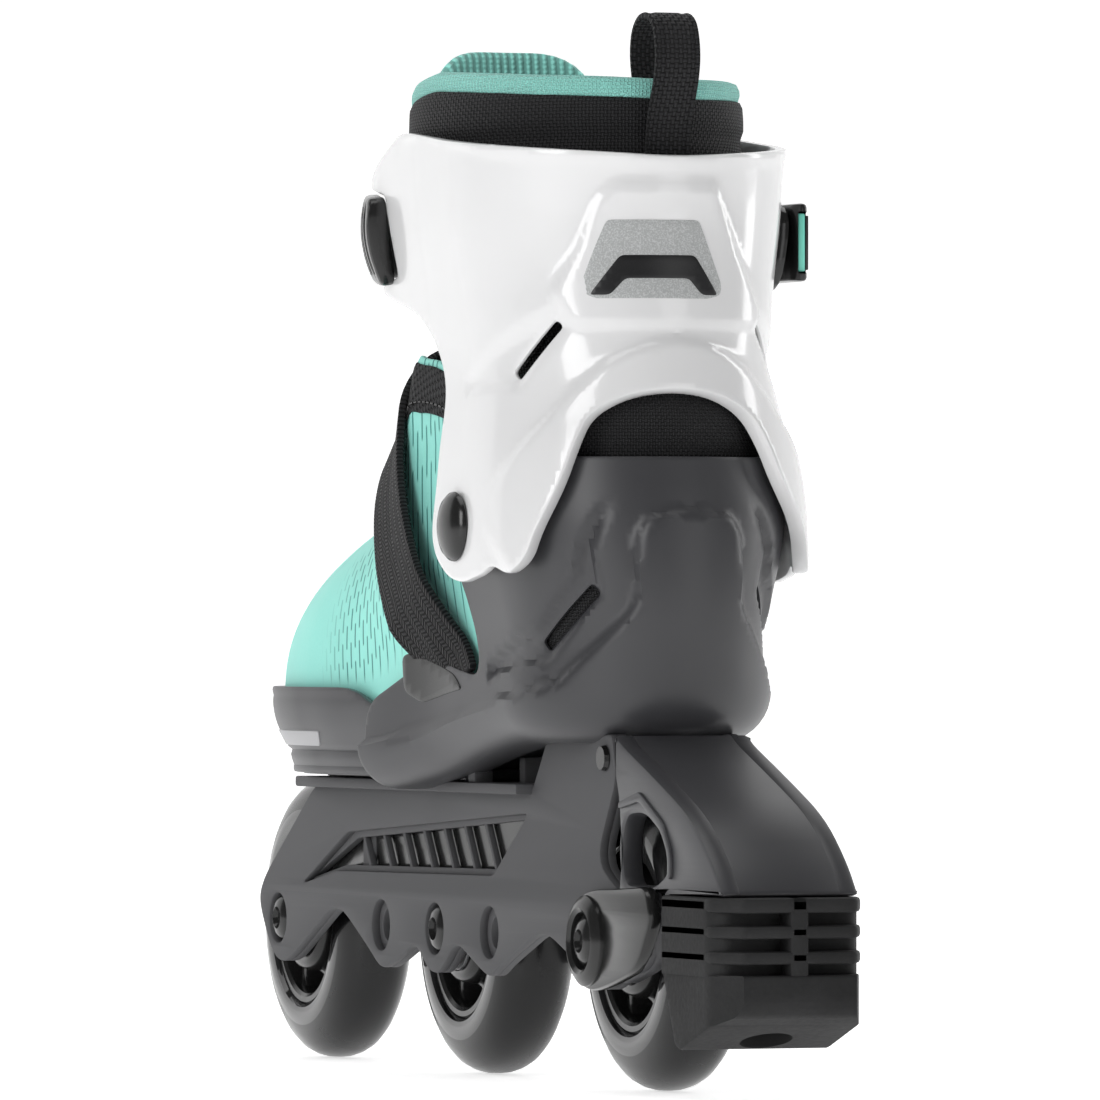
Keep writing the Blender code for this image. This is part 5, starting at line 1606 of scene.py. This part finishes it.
def make_pull_loop():
    """A coarse web loop that stands above the collar's rear."""
    line = [(-122.2, 228), (-122.4, 241), (-125.0, 248.5), (-128.2, 256), (-128.9, 262), (-127.0, 268.2),
            (-122.6, 270.9), (-117.2, 270.6), (-113.2, 267.6), (-111.8, 262.6), (-112.6, 257.0), (-114.6, 252.5),
            (-116.6, 247.5)]
    smooth = []
    for k in range(len(line) - 1):
        a, b, c, d = (Vector(line[max(0, min(len(line) - 1, k + j))]) for j in (-1, 0, 1, 2))
        for i in range(5):
            t = i / 5
            smooth.append(0.5 * (2 * b + (c - a) * t + (2 * a - 5 * b + 4 * c - d) * t * t
                                 + (3 * b - a - 3 * c + d) * t ** 3))
    smooth.append(Vector(line[-1]))
    lengths = [0.0]
    for a, b in zip(smooth, smooth[1:]):
        lengths.append(lengths[-1] + (b - a).length)
    total = lengths[-1]

    def web_place(u, v):
        s = max(0.0, min(total, v))
        k = max(i for i in range(len(lengths) - 1) if lengths[i] <= s or i == 0)
        t = (s - lengths[k]) / (lengths[k + 1] - lengths[k])
        p = smooth[k].lerp(smooth[k + 1], t)
        extra = v - s
        return (u, p.x, p.y + extra)

    loop = rounded([(-6, 0.4), (6, 0.4), (6, total - 0.4), (-6, total - 0.4)], 0.8, 2)

    def selvage(u, v):
        return 0.25 * smooth_step(0.4, 1.0, abs(abs(u) - 4.4)) - 0.1

    bm = formed([loop], 1.5, (1.0, 1.3), web_place, 0.4, selvage)
    piece = keep("pull_web", bm, "cuff", ("coarse_web",), ("pull_loop",))


class SKATE_OT_fastenings(bpy.types.Operator):
    """Ladder strap, anchor, ratchet buckle with its release, and the pull loop"""
    bl_idname = "skate.fastenings"
    bl_label = "Fastenings"

    def execute(self, context):
        make_ladder()
        make_anchor()
        make_buckle_base()
        make_lever()
        make_release()
        make_pull_loop()
        repaint("steel", "buckle_pin", "buckle_screw")
        return {"FINISHED"}


# Stage --------------------------------------------------------------------------------------------------

CAMERA_AT = Vector((-1083.6, -2866.3, 120.0)) * MM
CAMERA_ALONG = Vector((0.358, 0.934, 0.00555))
LENS = 382.9
LIGHTS_ON = (0, -0.02, 0.13)
# Name, place, width and height in metres, and power in watts.
LIGHTS = [("key", (-1.9, -1.0, 1.0), (0.8, 1.5), 20), ("fill", (0.9, -2.6, 0.6), (1.0, 1.4), 6),
          ("top", (-0.3, 0.1, 2.1), (1.4, 1.4), 11), ("edge", (1.8, -0.1, 0.8), (0.35, 1.6), 8)]


def soft_light(name, place, size, power):
    lamp = bpy.data.lights.new(name, "AREA")
    lamp.shape = "RECTANGLE"
    lamp.size, lamp.size_y = size
    lamp.energy = power
    obj = bpy.data.objects.new(name, lamp)
    obj.location = place
    obj.rotation_euler = (Vector(LIGHTS_ON) - Vector(place)).to_track_quat("-Z", "Y").to_euler()
    bpy.context.scene.collection.objects.link(obj)


def make_floor():
    """A pale floor that curves up far behind the skate."""
    bm = bmesh.new()
    bend, start, gap = 1.6, 2.0, 0.0002      # metres; the gap keeps the treads just clear of the floor
    turns = [math.pi / 2 * k / 12 for k in range(13)]
    rise = [(start + bend * math.sin(a), bend * (1 - math.cos(a))) for a in turns]
    line = [(-8.0, 0.0), *rise, (start + bend, 6.0)]
    turn = Matrix.Rotation(-math.atan2(CAMERA_ALONG.x, CAMERA_ALONG.y), 3, "Z")
    previous = None
    for y, z in line:
        pair = [bm.verts.new(turn @ Vector((x, y, z - gap))) for x in (-9.0, 9.0)]
        if previous:
            bm.faces.new((previous[0], previous[1], pair[1], pair[0]))
        previous = pair
    mesh = bpy.data.meshes.new("floor")
    bm.to_mesh(mesh)
    bm.free()
    mesh.shade_smooth()
    floor = bpy.data.objects.new("floor", mesh)
    bpy.context.scene.collection.objects.link(floor)
    mesh.materials.append(paint("floor"))


class SKATE_OT_stage(bpy.types.Operator):
    """Pale floor, soft lights and the camera"""
    bl_idname = "skate.stage"
    bl_label = "Stage"

    def execute(self, context):
        scene = context.scene
        make_floor()
        for light in LIGHTS:
            soft_light(*light)
        world = bpy.data.worlds.new("studio")
        world.use_nodes = True
        background = world.node_tree.nodes["Background"]
        background.inputs["Color"].default_value = (1, 1, 1, 1)
        background.inputs["Strength"].default_value = 0.12
        scene.world = world
        camera = bpy.data.cameras.new("camera")
        camera.lens = LENS
        camera.sensor_width = 36
        camera.clip_end = 50
        obj = bpy.data.objects.new("camera", camera)
        obj.location = CAMERA_AT
        obj.rotation_euler = CAMERA_ALONG.to_track_quat("-Z", "Y").to_euler()
        scene.collection.objects.link(obj)
        scene.camera = obj
        scene.view_settings.view_transform = "Standard"
        return {"FINISHED"}


# Add-on -------------------------------------------------------------------------------------------------

PIECE_OPERATORS = (SKATE_OT_wheels, SKATE_OT_frame, SKATE_OT_brake, SKATE_OT_shell, SKATE_OT_cuff, SKATE_OT_toe,
                   SKATE_OT_upper, SKATE_OT_liner, SKATE_OT_instep, SKATE_OT_fastenings, SKATE_OT_stage)


class SKATE_PT_panel(bpy.types.Panel):
    """Lists the skate's pieces with its colours and sizes."""
    bl_idname = "SKATE_PT_panel"
    bl_label = "Inline Skate"
    bl_space_type = "VIEW_3D"
    bl_region_type = "UI"
    bl_category = "Skate"

    def draw(self, context):
        column = self.layout.column(align=True)
        for group in (context.scene.skate_colours, context.scene.skate_sizes):
            for name in group.__annotations__:
                column.prop(group, name)
            column.separator()
        for each in PIECE_OPERATORS:
            column.operator(each.bl_idname)


CLASSES = (SKATE_PG_colours, SKATE_PG_sizes, *PIECE_OPERATORS, SKATE_PT_panel)


def register():
    for each in CLASSES:
        bpy.utils.register_class(each)
    bpy.types.Scene.skate_colours = PointerProperty(type=SKATE_PG_colours)
    bpy.types.Scene.skate_sizes = PointerProperty(type=SKATE_PG_sizes)


def unregister():
    del bpy.types.Scene.skate_sizes
    del bpy.types.Scene.skate_colours
    for each in reversed(CLASSES):
        bpy.utils.unregister_class(each)


def main():
    register()
    for each in PIECE_OPERATORS:
        getattr(bpy.ops.skate, each.bl_idname.split(".")[1])()


if __name__ == "__main__":
    main()
